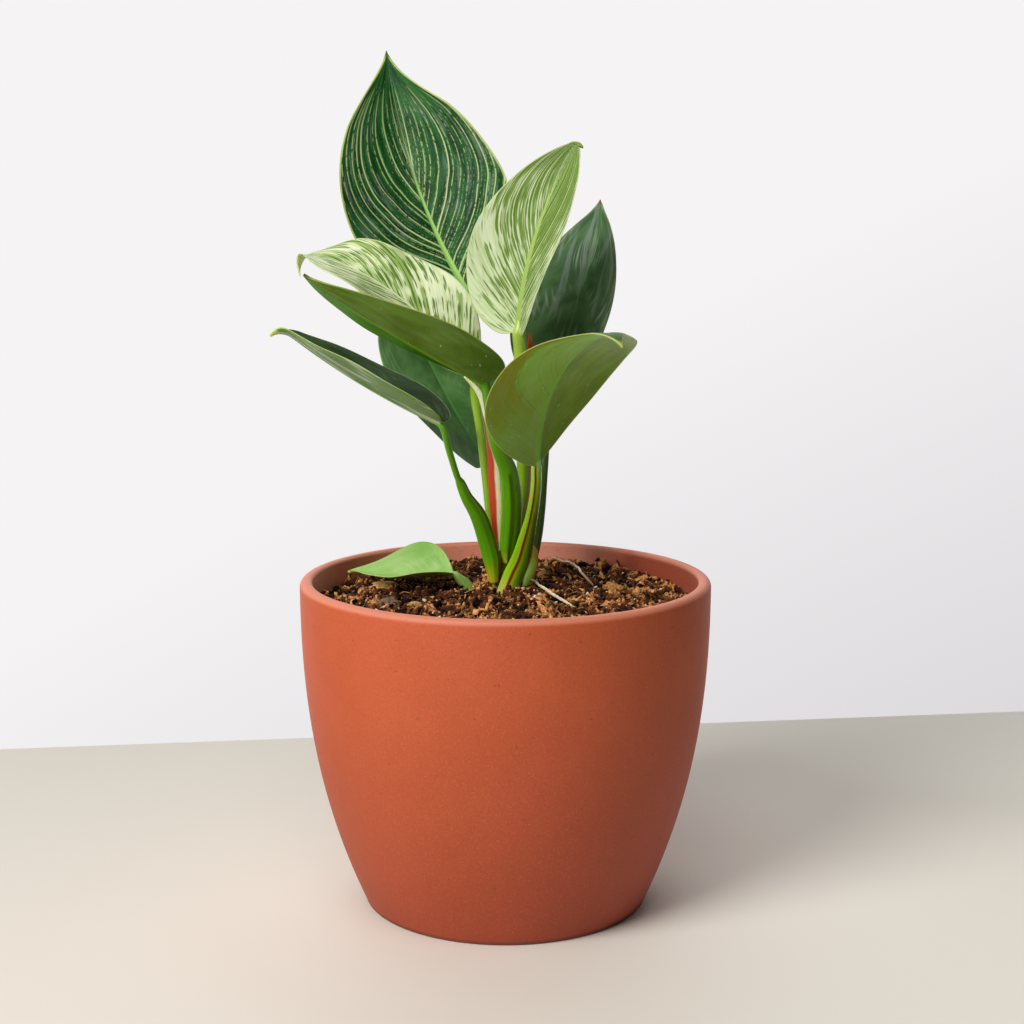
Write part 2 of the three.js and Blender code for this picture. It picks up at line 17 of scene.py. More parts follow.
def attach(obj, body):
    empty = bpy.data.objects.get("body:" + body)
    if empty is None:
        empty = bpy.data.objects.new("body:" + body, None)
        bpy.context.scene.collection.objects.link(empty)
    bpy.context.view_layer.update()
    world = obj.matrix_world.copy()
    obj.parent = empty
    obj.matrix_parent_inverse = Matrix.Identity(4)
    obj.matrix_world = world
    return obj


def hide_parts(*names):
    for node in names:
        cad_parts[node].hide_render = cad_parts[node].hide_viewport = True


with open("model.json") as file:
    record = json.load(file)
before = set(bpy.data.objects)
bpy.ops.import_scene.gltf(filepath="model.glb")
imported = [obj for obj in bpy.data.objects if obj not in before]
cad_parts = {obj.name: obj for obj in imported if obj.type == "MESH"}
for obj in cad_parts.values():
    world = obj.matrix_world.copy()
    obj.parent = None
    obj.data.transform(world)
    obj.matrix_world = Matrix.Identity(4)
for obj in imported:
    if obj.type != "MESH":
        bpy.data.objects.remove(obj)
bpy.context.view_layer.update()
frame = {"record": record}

SLOTS = {row["node"]: row["material_slot"] for row in frame["record"]["subparts"]}
MM = 0.001
SEED = 41

# ---------------------------------------------------------------- camera and stage

CAMERA_PLACE = (2.6, -685, 269)
CAMERA_PITCH = 9.2              # degrees below the horizon
CAMERA_FOCAL = 61.2
SENSOR_WIDTH = 36
TABLE_BACK_LEFT = (-266, 197)   # the table's back edge runs through these two points
TABLE_BACK_RIGHT = (293, 270)
TABLE_REACH = 850
TABLE_THICKNESS = 30

LIGHT_AIM = (0, 0, 130)
LIGHT_SIZE = 760
LIGHTS = [
    {"name": "key", "place": (-858, -920, 947), "power": 21.5, "colour": (1.0, 0.985, 0.965)},
    {"name": "fill", "place": (-110, -624, 1489), "power": 4.8, "colour": (1.0, 0.99, 0.98)},
]

# The surround turns from dark to bright along a direction, between two levels. These colours are
# amounts of light.
BACK_LIGHT_FROM = (-0.1, 0.97, 0.2)
BACK_LIGHT_LEVELS = (0.45, 0.9)
BACK_LIGHT_BRIGHT = (1.6, 1.57, 1.59, 1)
BACK_LIGHT_DARK = (0.06, 0.06, 0.062, 1)
BACKDROP_SLOPE = (-0.28, 0.0, 0.57)
BACKDROP_LEVELS = (-0.28, -0.05)
BACKDROP_BRIGHT = (0.915, 0.9, 0.91, 1)
BACKDROP_DARK = (0.655, 0.64, 0.655, 1)

# ---------------------------------------------------------------- pot and potting mix

POT_HEIGHT = 132
POT_RIM_RADIUS = 82
POT_FOOT_RADIUS = 57
POT_FLARE = 2.4
POT_WALL = 5
POT_FLOOR = 6
POT_SEGMENTS = 240
FOOT_ROUND = 1.2
LIP_OUTER_ROUND = 2.6
LIP_INNER_ROUND = 1.4

MIX_EDGE_LEVEL = 121
MIX_MOUND = 2.5
MIX_BACK_RISE = 3
MIX_BACK_FROM = 20
MIX_BACK_TO = 70
MIX_LUMP = 1
BROAD_LUMPS = (21.7, 19)
FINE_LUMPS = (15.7, 10.3)
FINE_LUMP_SHARE = 0.7
LUMP_PHASE = 1.3
MIX_CELLS = 280                 # of the square grid that is bent into the round surface
MIX_SINK = 0.3                  # how much lower than the solid's the cloddy surface lies
MIX_SIDE_LEVELS = (MIX_EDGE_LEVEL - 8, 90, 60, 30, POT_FLOOR + 0.4)
# The surface's tone rises with the clods' height: painted shade, darker in the crevices and lighter on the
# clods' tops.
MIX_TONE = (0.3, 0.34)          # of the surface at its own level, and more for each mm of clod
MOST_MIX_TONE = 0.85
MIX_TOP_GAP = 0.15              # to the wall, at the surface and below it
MIX_SIDE_GAP = 0.35
SWELL_SIZE, SWELL_RISE, SWELL_SEED = 11, 1.1, 4.7
CLOD_LEVEL = 0.24               # the share of noise that leaves the surface where it is
CLODS = (                       # size, and rise: rounded where it is above 0, sharp where below
    (7.5, 3.4), (3.4, -3.0), (1.7, 2.6),
)

# ---------------------------------------------------------------- the leaves
#
# Angles in degrees, lengths in millimetres. A blade is bent along its midrib (arch, hook, sweep,
# twist) and folded across it (fold, cup: left and right). A stalk's points are x, y, z, half width
# and half depth, from the blade down to the crown. These are the solids' numbers, but for the
# length, arch, hook and sweep of variegated_left and the stalk of left_lower, which were fitted
# once more. The rest is this script's own:
# rib is how far the midrib stands out above and below the blade at its base, in millimetres.
# veins: the share of the midrib that sends out side veins, the share over which one swings out,
# and the number of the one at the base. point is how much narrower the blade's point is drawn out,
# and flick how far its last bit turns aside.

LEAVES = [
    {
        "name": "tall_back", "look": "pinstripe", "stalk_look": "green", "rib": (-0.3, 1.3),
        "veins": (0.58, 0.19, 1.15), "point": 0.45,
        "base": (-15, 42, 241.5), "heading": 144.5, "rise": 52.5, "roll": -35.5,
        "length": 114, "width": 75, "arch": -16, "hook": -11, "sweep": -19, "twist": -1,
        "round": 0.65, "taper": 1.08, "fold": (9, 25.5), "cup": (8.5, 23), "lobe": 1.5, "wave": 1.2,
        "stalk": [
            (-15, 42, 241, 1.8, 1.6), (-12.5, 40, 225, 1.9, 1.8), (-9.2, 36, 205, 2, 2),
            (-6.2, 31.5, 184, 2.1, 2), (-3.6, 27, 163, 2.2, 2.1), (-2.2, 23.5, 139.5, 2.3, 2.2),
        ],
    },
    {
        "name": "variegated_right", "look": "cream", "stalk_look": "pale", "rib": (0.7, 1.4),
        "veins": (0.8, 0.34, 1.45), "point": 0.1, "flick": -110,
        "base": (5.5, 4, 229.5), "heading": 13.5, "rise": 87, "roll": 31,
        "length": 81.5, "width": 52.5, "arch": 34, "hook": 10, "sweep": -12, "twist": 35,
        "round": 0.46, "taper": 0.98, "fold": (7, 30), "cup": (17, 18), "lobe": 2.5, "wave": 0.5,
        "stalk": [
            (5.5, 4, 229, 2.8, 2.2), (6, 6, 222, 2.8, 2.4), (6.2, 10, 202, 2.8, 2.6),
            (7, 13, 181, 2.7, 2.6), (7.2, 15, 169, 2.6, 2.5), (6, 17, 156, 2.5, 2.4),
            (3.8, 19.5, 139.5, 2.3, 2.2),
        ],
    },
    {
        "name": "variegated_left", "look": "cream_left", "stalk_look": "lime", "rib": (0.1, 1.2),
        "veins": (0.95, 0.3, 2.0), "point": 0.9,
        "base": (-12.5, 10, 212.5), "heading": 201.5, "rise": 51, "roll": -67.5,
        "length": 106.5, "width": 43, "arch": 81.9, "hook": 84.5, "sweep": -21, "twist": 20,
        "round": 0.57, "taper": 0.97, "fold": (14.5, 13), "cup": (13, 12.5), "lobe": -1, "wave": 1.6,
        "stalk": [
            (-12.5, 10, 212, 1.8, 1.5), (-12.5, 10.5, 205, 1.8, 1.6), (-10.3, 12.5, 190, 1.8, 1.7),
            (-8.4, 15, 174, 1.8, 1.8), (-7, 17, 160, 1.9, 1.9), (-4.8, 18.5, 139.5, 2, 2),
        ],
    },
    {
        "name": "left_upper", "look": "olive_left", "stalk_look": "two_tone", "rib": (-0.3, 1.3),
        "veins": (0.8, 0.2, 1.2), "point": 0.1,
        "base": (-8, -17, 211.5), "heading": 219, "rise": 23.5, "roll": -2,
        "length": 91, "width": 46.5, "arch": -7, "hook": -9, "sweep": 0, "twist": 6,
        "round": 0.46, "taper": 1.05, "fold": (15.5, 8), "cup": (12, -5), "lobe": 2.5, "wave": 0.2,
        "stalk": [
            (-8, -17, 211, 1.9, 1.7), (-6.6, -15.5, 204, 1.9, 1.9), (-4, -9.5, 188, 2.6, 2.2),
            (1, -2, 175, 3.7, 2.7), (2.4, 4, 162, 4.3, 3), (2, 9, 150, 4.2, 3),
            (1.2, 12, 142, 3.6, 2.8), (0.8, 14.5, 135, 2, 1.8),
        ],
    },
    {
        "name": "left_lower", "look": "trough", "stalk_look": "green", "rib": (-0.4, 0.9),
        "veins": (0.8, 0.2, 1.2), "point": 0.1,
        "base": (-25, -10, 194.5), "heading": 158.5, "rise": 20, "roll": 9,
        "length": 84, "width": 40.5, "arch": -14, "hook": 65, "sweep": -1, "twist": -1,
        "round": 0.44, "taper": 0.9, "fold": (23, 24), "cup": (1, 2), "lobe": 1.5, "wave": 0.3,
        "stalk": [
            (-25, -10, 194, 1.4, 1.4), (-22.2, -5, 183.5, 1.3, 1.4), (-19.4, 0, 173, 1.3, 1.4),
            (-18.8, 0.8, 171.3, 1.3, 1.4), (-18, 1.7, 169.6, 1.9, 1.6), (-15.6, 4, 163.5, 2.4, 1.9),
            (-11.3, 7, 156, 3.3, 2.1), (-7.6, 11, 144.5, 3.7, 2.4),
            (-5.6, 13, 136, 3.6, 2.5), (-4.6, 14.5, 126.5, 2, 2),
        ],
    },
    {
        "name": "front_right", "look": "olive_right", "stalk_look": "bright", "rib": (-0.3, 1.2),
        "veins": (0.8, 0.22, 1.2), "point": 0.4,
        "base": (12, -22, 179.5), "heading": 269, "rise": 67.5, "roll": 59.5,
        "length": 100.5, "width": 59.5, "arch": 66.5, "hook": 51, "sweep": -17.5, "twist": -33,
        "round": 0.89, "taper": 1.17, "fold": (-3, 9), "cup": (-18.5, 6.5), "lobe": 0.5, "wave": 0.3,
        "stalk": [
            (12, -22, 179, 2, 1.7), (12, -18, 173, 2.1, 1.9), (11.4, -12, 165, 2.2, 2),
            (10, -5, 155.5, 2.5, 2.1), (8.2, 1, 146.5, 3.3, 2.3), (6, 6, 137.5, 3.9, 2.5),
            (3.2, 9, 130.5, 4.2, 2.6), (0, 10.5, 122, 4, 2.4),
        ],
    },
    {
        "name": "back_left", "look": "blue_green", "stalk_look": "dark", "rib": (-0.3, 1.1),
        "veins": (0.75, 0.2, 1.2), "point": 0.1,
        "base": (-9, 38, 172.5), "heading": 148.5, "rise": 54, "roll": -6,
        "length": 89, "width": 56, "arch": 8, "hook": -6.5, "sweep": -17, "twist": -33,
        "round": 0.55, "taper": 0.84, "fold": (11, 8), "cup": (7, 5), "lobe": 4.5, "wave": -0.5,
        "stalk": [
            (-9, 38, 172, 1.8, 1.7), (-6.8, 35, 163, 1.9, 1.9), (-3.4, 30, 151, 2, 2),
            (-0.5, 27, 139.5, 2.1, 2),
        ],
    },
    {
        "name": "back_right", "look": "dark_sheen", "stalk_look": "dark", "rib": (-0.3, 1.1),
        "veins": (0.75, 0.18, 1.2), "point": 0.1,
        "base": (19.5, 34, 204.5), "heading": 27, "rise": 72, "roll": 30.5,
        "length": 84, "width": 50, "arch": 18, "hook": -27.5, "sweep": 12, "twist": 10.5,
        "round": 0.53, "taper": 1.06, "fold": (14.5, 20.5), "cup": (10.5, 16.5), "lobe": 3, "wave": 0.3,
        "stalk": [
            (19.5, 34, 204, 1.7, 1.6), (17, 31, 187.5, 1.7, 1.7), (15.8, 28, 171, 1.7, 1.7),
            (14.6, 26, 153.5, 1.7, 1.7), (13, 25, 142, 1.8, 1.8), (10.6, 23.5, 134, 2.2, 2),
            (6.6, 21.5, 125.5, 2.4, 2.2),
        ],
    },
    {
        "name": "small_low", "look": "small", "stalk_look": "small", "rib": (0.1, 0.3),
        "veins": (0.7, 0.2, 1.2), "point": 0.0,
        "base": (-21.5, 15, 130.2), "heading": 174, "rise": -9.5, "roll": -5.5,
        "length": 46, "width": 37, "arch": -16, "hook": 41.5, "sweep": -18.5, "twist": -15,
        "round": 0.72, "taper": 1.69, "fold": (17, 20), "cup": (13, 19.5), "lobe": 0, "wave": -0.2,
        "stalk": [
            (-21, 15.1, 129.6, 1.4, 1), (-19.2, 15.4, 128, 1.9, 1.1), (-16.6, 16, 125.6, 2.4, 1.2),
            (-14, 17, 121, 2.8, 1.3),
        ],
    },
]

# Where a stalk's sheath is open: the seam's angle from the front towards the right, in degrees,
# the height at which its lip starts, and how far the lip stands out.
SEAMS = {
    "left_lower": {"angle": 52, "from": 171, "lip": 0.5},
    "front_right": {"angle": -8, "from": 182, "lip": 0.35},
    "left_upper": {"angle": 8, "from": 176, "lip": 0.3},
}

BLADE_THICKNESS = 0.62
TIP_THICKENING = 0.8
TIP_THICKENS = (0.84, 0.94)     # the stretch of the blade over which it gets thicker
MARGIN_THINNING = 0.6
MARGIN_POWER = 8                # the higher, the nearer the margin a blade gets thinner
MARGIN_BULGE = 0.3              # how far the margin stands out, as a share of the thickness
RIB_WIDTHS = (1.5, 0.45)        # of the raised midrib, at base and tip
BLADE_ROWS = 150
ROW_CROWDING = 0.75             # crowds the rows towards base and tip
BLADE_COLUMNS = 28              # from the midrib to each margin
COLUMN_CROWDING = 1.4           # crowds the columns towards the midrib
FRAME_STEPS = 200
HOOK_START = 0.88
FLICK_START = 0.95
BASE_HALF_WIDTH = 1.4
TIP_HALF_WIDTH = 0.15
LEVEL_TO = 1.2                  # this near the midrib, both faces lie level with it
LOBE_REACH = 0.4
LOBE_RISE = 6
WAVES = 2.2
WAVE_PHASE = (0.25, 0.7)
WAVE_RISE = 0.3
VEIN_PITCH = 4.6                # between the raised side veins
VEIN_RELIEF = 0.04
VEIN_OFFSET = 0.37              # of the right half's raised veins, as a share of the pitch
VEIN_FROM_RIB = (1.5, 6)        # they rise over this stretch beside the midrib
VEIN_ON_HALF = (3, 10)          # and grow with the blade's half width
MOST_VEIN = 4                   # the highest number of a vein
VEIN_SLOPES = (0.3, 6)          # the least and most that a material is told of
MOST_CROWDING = 9
SIDES_MEET = 0.012              # the share of the half width over which left turns into right
VEIN_POWER = 1.25               # above 1, a vein leaves the midrib at a shallow angle
POINT_FROM = 0.72               # a blade's drawn out point starts here
POINT_POWER = 1.5

STALK_SIDES = 28
STALK_STEP = 0.9                # between the rings of a stalk
FEWEST_RINGS = 6
INTO_BLADE = 4.5                # how far a stalk's top runs on along the midrib
SHEATH_COLUMNS = 14
SHEATH_THICKNESS = 0.4
SHEATH_EDGE_THINNING = 0.5
SHEATH_CURL = 62                # degrees that each edge is turned back

SHEATHS = [
    {
        "name": "sheath_cream", "look": "cream_sheath",
        "points": [
            (-16.2, 1, 212, 0.4, 0.4), (-10.6, 3, 205.5, 1.1, 0.7), (-7.5, 5, 196.5, 1.4, 0.8),
            (-6.2, 7, 189, 1.6, 0.9), (-5.2, 9, 178.5, 2.1, 1), (-4.7, 10.5, 169, 2.4, 1),
            (-4.2, 11.5, 160, 2.4, 1), (-3.6, 13, 148, 1.8, 1), (-2.8, 14.5, 140.5, 1, 0.8),
        ],
    },
    {
        "name": "sheath_red", "look": "red_sheath",
        "points": [
            (9.8, 8.5, 228.5, 0.5, 0.4), (9.8, 9.5, 222, 1.2, 0.7), (10, 11.5, 210, 1.3, 0.8),
            (10.2, 14, 193, 1.3, 0.8), (10.2, 16, 173, 1.4, 0.8), (9, 17.5, 158, 1.6, 0.9),
            (6.6, 19.5, 143, 1.2, 0.9),
        ],
    },
    {
        "name": "sheath_dry", "look": "dry_sheath",
        "points": [
            (11, 15.5, 141.5, 0.4, 0.4), (11.8, 17.5, 138.5, 1.3, 0.7), (11.6, 19, 134, 1.9, 0.8),
            (9.6, 18.5, 127.5, 1.9, 0.8), (7.2, 17.5, 121, 1.2, 0.8),
        ],
    },
]

CROWN_WOBBLE, CROWN_SEED = 0.12, 5
CROWN = [
    (-0.5, 20, 139, 3.4, 3.4), (-0.5, 20, 136, 4.4, 4.4), (-0.6, 20, 126, 5.2, 5.2),
    (-0.8, 20, 112, 5.8, 5.8), (-1, 20, 100, 3, 3),
]

ROOT_SIDES, ROOT_STEP, ROOT_WOBBLE = 12, 0.5, 0.35

# The roots are thinner and wavier than their solids, and the loose bits lie a little higher.
ROOTS = [
    {
        "name": "root_front", "look": "pale_root",
        "points": [
            (8, 24, 125.5, 0.5, 0.5), (11, 18, 126.8, 0.5, 0.5), (13.8, 11, 125.9, 0.5, 0.5),
            (15.6, 3, 126.4, 0.6, 0.6), (19.2, -6, 125.6, 0.6, 0.6), (21.6, -13.5, 125.6, 0.6, 0.6),
            (25.2, -19.5, 124.6, 0.5, 0.5), (28.4, -23, 122, 0.4, 0.4),
        ],
    },
    {
        "name": "root_back", "look": "brown_root",
        "points": [
            (18.5, 63, 124.5, 0.5, 0.5), (20.4, 61, 127.6, 0.5, 0.5), (24.6, 54.5, 127.4, 0.6, 0.6),
            (27, 49, 128.2, 0.6, 0.6), (30.8, 41, 127.2, 0.6, 0.6), (31.8, 33, 126.8, 0.5, 0.5),
            (36.5, 25, 123, 0.4, 0.4),
        ],
    },
]

BITS = [
    {
        "name": "bark_chip_left", "at": (-51, 24.5, 122.6), "half": (5.5, 3.4, 2.4), "turn": 24,
        "tone": 0.86,
    },
    {
        "name": "bark_chip_front", "at": (-35.5, -19.5, 123.4), "half": (3.6, 2.4, 2.3), "turn": 40,
        "tone": 0.95,
    },
    {
        "name": "bark_chip_right", "at": (44, 17, 123.2), "half": (4.6, 3, 2.5), "turn": -28,
        "tone": 0.72,
    },
    {
        "name": "pebble", "at": (-46, -12, 123), "half": (4.6, 3.8, 2.9), "turn": 12,
        "tone": 0.6,
    },
]

# The loose mix: lumps of these sizes (smallest and largest), how flat, tilted and rough they are,
# their tones, and the share of each that is sunk in.
SCATTERS = [
    {
        "name": "mix_crumbs", "look": "potting_mix", "count": 2300, "sizes": (0.3, 1.5),
        "flat": 0.6, "tilt": 1.5, "rough": 1.0, "tones": (0.0, 1.1), "sink": 0.35,
    },
    {
        "name": "mix_bark", "look": "bark", "count": 420, "sizes": (0.5, 2.2),
        "flat": 0.35, "tilt": 1.3, "rough": 0.8, "tones": (0.1, 1.0), "sink": 0.2,
    },
    {
        "name": "mix_perlite", "look": "perlite", "count": 110, "sizes": (0.4, 1.1),
        "flat": 0.85, "tilt": 0.9, "rough": 0.3, "tones": (0.5, 1.0), "sink": 0.15,
    },
]
LUMP_SHAPES = ((0.8, 2.0), (0.5, 1.0), (0.6, 1.2))  # least and most of the size: long, wide, high
LUMP_KNOBS = 2.6                # the knobs on a lump, and on one of the larger bits
BIT_KNOBS = 1.6
BIT_ROUGHNESS = 0.32
FIBRES = {"count": 420, "lengths": (3, 13), "radii": (0.1, 0.3), "tones": (0.1, 0.9)}
FIBRE_SIDES, FIBRE_STEPS = 5, 9

# ---------------------------------------------------------------- colours
#
# A leaf's: field is the upper side between its markings, mark the markings and, on plain blades,
# the streaks of painted sheen, under the lower side, rib the midrib above and below, edge the
# margin, tip the leaf's point. rib_reach is the share of the blade that the pale midrib reaches
# up, and widths are in millimetres. under_right is the lower side's right half where it differs.
# shadow_band is a painted shadow on that half: the vein that it starts at, its colour, and the
# colour below it, which is paler, partly painted sheen. wax, veil and sheen are
# how strong the painted sheen is: pale streaks along the side veins, and soft lengthwise bands.
LEAF_DEFAULTS = {
    "kind": "plain", "rib_reach": 0.95, "edge_width": 0.35, "gloss": 0.48, "shine": 0.1,
    "wax": 0.4, "under_wax": 0.2, "under_sheen": 0.0, "tip_from": 0.965,
}
LEAF_LOOKS = {
    "pinstripe": {
        "kind": "pinstripe", "field": ((16, 58, 24), (30, 86, 38)), "mark": (204, 220, 152),
        "halo": (70, 132, 54), "under": ((92, 134, 56), (116, 152, 74)),
        "rib": (154, 200, 104), "rib_under": (150, 190, 90), "edge": (184, 202, 116),
        "tip": (80, 110, 50), "rib_width": 2.1, "rib_reach": 0.6, "edge_width": 0.9,
        "gloss": 0.46, "shine": 0.07, "veil": 0.3,
    },
    "cream": {
        "kind": "cream", "field": ((190, 206, 152), (210, 222, 182)), "mark": (88, 120, 16),
        "green": (100, 134, 32), "pale": (214, 224, 186), "green_low": 0.07,
        "green_high": 0.27, "side_green": 0.05, "patches": 0.3, "pale_margin": 12.0,
        "streaks": (0.03, 0.075), "wash": 0.6, "under": ((160, 184, 116), (186, 202, 144)),
        "rib": (160, 186, 96), "rib_under": (170, 200, 110), "edge": (196, 208, 150),
        "tip": (150, 168, 70), "rib_width": 2.6, "rib_reach": 0.85, "edge_width": 0.45,
    },
    "cream_left": {
        "kind": "cream", "field": ((204, 216, 160), (222, 230, 192)), "mark": (76, 112, 8),
        "green": (130, 160, 70), "pale": (222, 232, 196), "green_low": 0.04,
        "green_high": 0.03, "side_green": 0.03, "patches": 0.4, "pale_margin": 4.0,
        "streaks": (0.035, 0.06), "wash": 0.6, "under": ((168, 198, 104), (188, 212, 136)),
        "rib": (206, 220, 170), "rib_under": (170, 200, 110), "edge": (206, 218, 166),
        "tip": (214, 226, 140), "tip_from": 0.89, "rib_width": 1.0, "rib_reach": 0.9,
        "edge_width": 0.45,
    },
    "olive_left": {
        "field": ((34, 74, 26), (48, 92, 34)), "mark": (120, 150, 80),
        "under": ((94, 124, 38), (112, 146, 58)), "under_right": ((62, 128, 2), (84, 150, 8)),
        "rib": (90, 140, 50), "rib_under": (120, 172, 40), "edge": (176, 194, 100),
        "tip": (100, 112, 56), "rib_width": 1.5, "shine": 0.03, "wax": 0.3, "under_wax": 0.06,
        "under_sheen": 0.05,
    },
    "olive_right": {
        "field": ((52, 96, 36), (64, 112, 44)), "mark": (120, 150, 80),
        "under": ((108, 142, 20), (121, 158, 38)), "under_right": ((134, 176, 62), (140, 190, 82)),
        "shadow_band": (26.4, (136, 142, 18), (160, 204, 96)), "rib": (96, 150, 60),
        "rib_under": (130, 192, 70), "edge": (180, 198, 116), "tip": (170, 184, 84),
        "rib_width": 1.4, "edge_width": 0.3, "gloss": 0.46, "shine": 0.16, "wax": 0.3,
        "under_wax": 0.05, "under_sheen": 0.04,
    },
    "trough": {
        "field": ((26, 52, 16), (42, 74, 28)), "mark": (110, 136, 84),
        "under": ((92, 128, 54), (112, 148, 70)), "rib": (52, 84, 34),
        "rib_under": (150, 176, 110), "edge": (176, 200, 110), "tip": (196, 216, 120),
        "tip_from": 0.93, "rib_width": 1.2, "edge_width": 0.38, "gloss": 0.46,
        "under_wax": 0.1, "under_sheen": 0.55,
    },
    "blue_green": {
        "field": ((78, 124, 62), (108, 154, 90)), "mark": (150, 184, 136),
        "under": ((80, 116, 60), (100, 134, 78)), "rib": (96, 146, 80),
        "rib_under": (120, 156, 80), "edge": (140, 180, 104), "tip": (96, 130, 60),
        "rib_width": 1.3, "gloss": 0.44, "shine": 0.22, "under_wax": 0.3,
    },
    "dark_sheen": {
        "field": ((56, 92, 50), (86, 122, 76)), "mark": (160, 176, 156),
        "under": ((80, 112, 56), (100, 130, 76)), "rib": (100, 124, 84),
        "rib_under": (120, 150, 80), "edge": (128, 146, 70), "tip": (130, 100, 70),
        "rib_width": 0.6, "gloss": 0.42, "shine": 0.3, "wax": 0.8, "under_wax": 0.3, "sheen": 0.4,
    },
    "small": {
        "field": ((140, 190, 90), (168, 204, 124)), "mark": (190, 214, 150),
        "under": ((132, 172, 60), (150, 184, 76)), "rib": (158, 200, 108),
        "rib_under": (150, 184, 80), "edge": (158, 188, 78), "tip": (206, 214, 112),
        "rib_width": 0.5, "rib_reach": 0.7, "edge_width": 0.3, "gloss": 0.42, "shine": 0.35,
        "wax": 0.5,
    },
}
# The painted sheen's colours over dark and over green blades; the pale of the lower side's faint veins and of
# its painted sheen; and the scratches.
SHEEN_OVER_DARK = (150, 164, 156)
SHEEN_OVER_GREEN = (196, 206, 172)
PALE_VEIN_AND_SHEEN = (206, 214, 196)
SCRATCH = (216, 220, 186)

PINSTRIPE_PITCH = 2.9           # between a pinstriped blade's lines where it is widest
PINSTRIPE_HALF = 0.2            # half a line's width
FINE_LINES = 2.3                # this many fine lines for each bold one

# A stalk's colours at its top, lower down and at its foot; right is what the low part's right side
# is tinted with: darker, partly the stalk's own colour and partly painted shade away from the light.
STALK_LOOKS = {
    "green": {
        "top": (104, 172, 30), "low": (104, 172, 16), "foot": (190, 188, 30), "right": (196, 206, 180),
    },
    "two_tone": {
        "top": (104, 168, 30), "low": (104, 172, 16), "foot": (190, 188, 30), "right": (232, 218, 180),
        "seam": (70, 104, 20),
    },
    "bright": {
        "top": (166, 222, 92), "low": (150, 200, 22), "foot": (196, 196, 90), "right": (196, 206, 180),
    },
    "pale": {
        "top": (186, 208, 96), "low": (150, 190, 28), "foot": (190, 190, 60), "right": (220, 226, 200),
    },
    "lime": {
        "top": (124, 188, 34), "low": (168, 212, 60), "foot": (200, 196, 80), "right": (220, 226, 200),
    },
    "dark": {
        "top": (74, 118, 48), "low": (96, 136, 70), "foot": (140, 150, 70), "right": (206, 216, 200),
    },
    "small": {
        "top": (168, 212, 118), "low": (164, 206, 112), "foot": (176, 170, 100), "right": (220, 226, 200),
    },
    "crown": {"top": (190, 180, 90), "low": (150, 130, 70), "foot": (90, 70, 40)},
    "pale_root": {"top": (190, 160, 110), "low": (236, 220, 180), "foot": (206, 186, 136)},
    "brown_root": {"top": (170, 136, 90), "low": (196, 160, 110), "foot": (150, 110, 70)},
}
WHITE = (255, 255, 255)
STREAK_TINT = (196, 206, 180)
SEAM_COLOUR = (132, 52, 20)
SEAM_HALO = (196, 170, 30)

# A sheath's colours at its left and right, at its tip, and where across it the one turns into the
# other: near its top, and lower down.
RED = ((204, 88, 48), (154, 50, 24))
SHEATH_LOOKS = {
    "cream_sheath": {
        "left": RED, "right": ((255, 248, 222), (246, 226, 176)), "tip": (240, 226, 170),
        "turn_at": (-1.1, 0.35), "glow": 0.2,
    },
    "red_sheath": {
        "left": ((236, 120, 50), (206, 70, 36)), "right": RED, "tip": (240, 140, 60),
        "turn_at": (0, 0), "glow": 0,
    },
    "dry_sheath": {
        "left": ((140, 180, 70), (120, 160, 60)), "right": ((140, 180, 70), (120, 160, 60)),
        "tip": (226, 116, 50), "turn_at": (0, 0), "glow": 0,
    },
}

# From dark to light.
EARTHS = {
    "potting_mix": ((15, 8, 5), (88, 49, 27), (236, 166, 102)),
    "bark": ((76, 40, 20), (150, 92, 46), (218, 172, 104)),
    "perlite": ((200, 176, 136), (236, 216, 180), (250, 240, 216)),
    "pebble": ((74, 58, 44), (118, 96, 76), (150, 128, 104)),
}


# ---------------------------------------------------------------- numbers and meshes

def smooth(value, low, high):
    """0 at low, 1 at high, with soft ends."""
    share = np.clip((value - low) / (high - low), 0, 1)
    return share * share * (3 - 2 * share)


def blend(share, a, b):
    return a + (b - a) * share


def unit(vectors):
    return vectors / np.linalg.norm(vectors, axis=-1, keepdims=True)


def turned(vector, axis, angle):
    """The vector turned about the axis, in radians."""
    return (
        vector * math.cos(angle)
        + np.cross(axis, vector) * math.sin(angle)
        + axis * np.dot(axis, vector) * (1 - math.cos(angle))
    )


def make_piece(name, node, points, faces, material, attributes=None, replaces=True):
    """A smooth mesh from points in millimetres that rides on the object. It stands for the node, or
    else goes with the piece that does."""
    mesh = bpy.data.meshes.new(name)
    mesh.from_pydata((np.asarray(points) * MM).tolist(), [], faces)
    mesh.polygons.foreach_set("use_smooth", [True] * len(mesh.polygons))
    for key, values in (attributes or {}).items():
        values = np.asarray(values, np.float32)
        kind = "FLOAT_VECTOR" if values.ndim == 2 else "FLOAT"
        layer = mesh.attributes.new(key, kind, "POINT")
        layer.data.foreach_set("vector" if values.ndim == 2 else "value", values.ravel())
    mesh.materials.append(material)
    mesh.validate()
    piece = bpy.data.objects.new(name, mesh)
    bpy.context.scene.collection.objects.link(piece)
    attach(piece, "root")
    if replaces:
        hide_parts(node)


def ring_faces(rows, count):
    """Faces between closed rings of points, laid row by row, with a fan of faces over each end.
    The two points that the fans meet in come after the rings."""
    faces = []
    for row in range(rows - 1):
        for column in range(count):
            after = (column + 1) % count
            low = row * count
            faces.append((low + column, low + after, low + count + after, low + count + column))
    first_hub = rows * count
    last = (rows - 1) * count
    for column in range(count):
        after = (column + 1) % count
        faces.append((first_hub, after, column))
        faces.append((first_hub + 1, last + column, last + after))
    return faces


def with_hubs(rings):
    """The rings' points as one list, with the middle of the first and of the last ring added."""
    ends = rings[[0, -1]].mean(axis=1)
    return np.concatenate([rings.reshape(-1, rings.shape[-1]), ends])


def ringed_piece(name, node, rings, material, attributes=None):
    """A closed piece from rings of points."""
    make_piece(name, node, with_hubs(rings), ring_faces(*rings.shape[:2]), material, attributes)


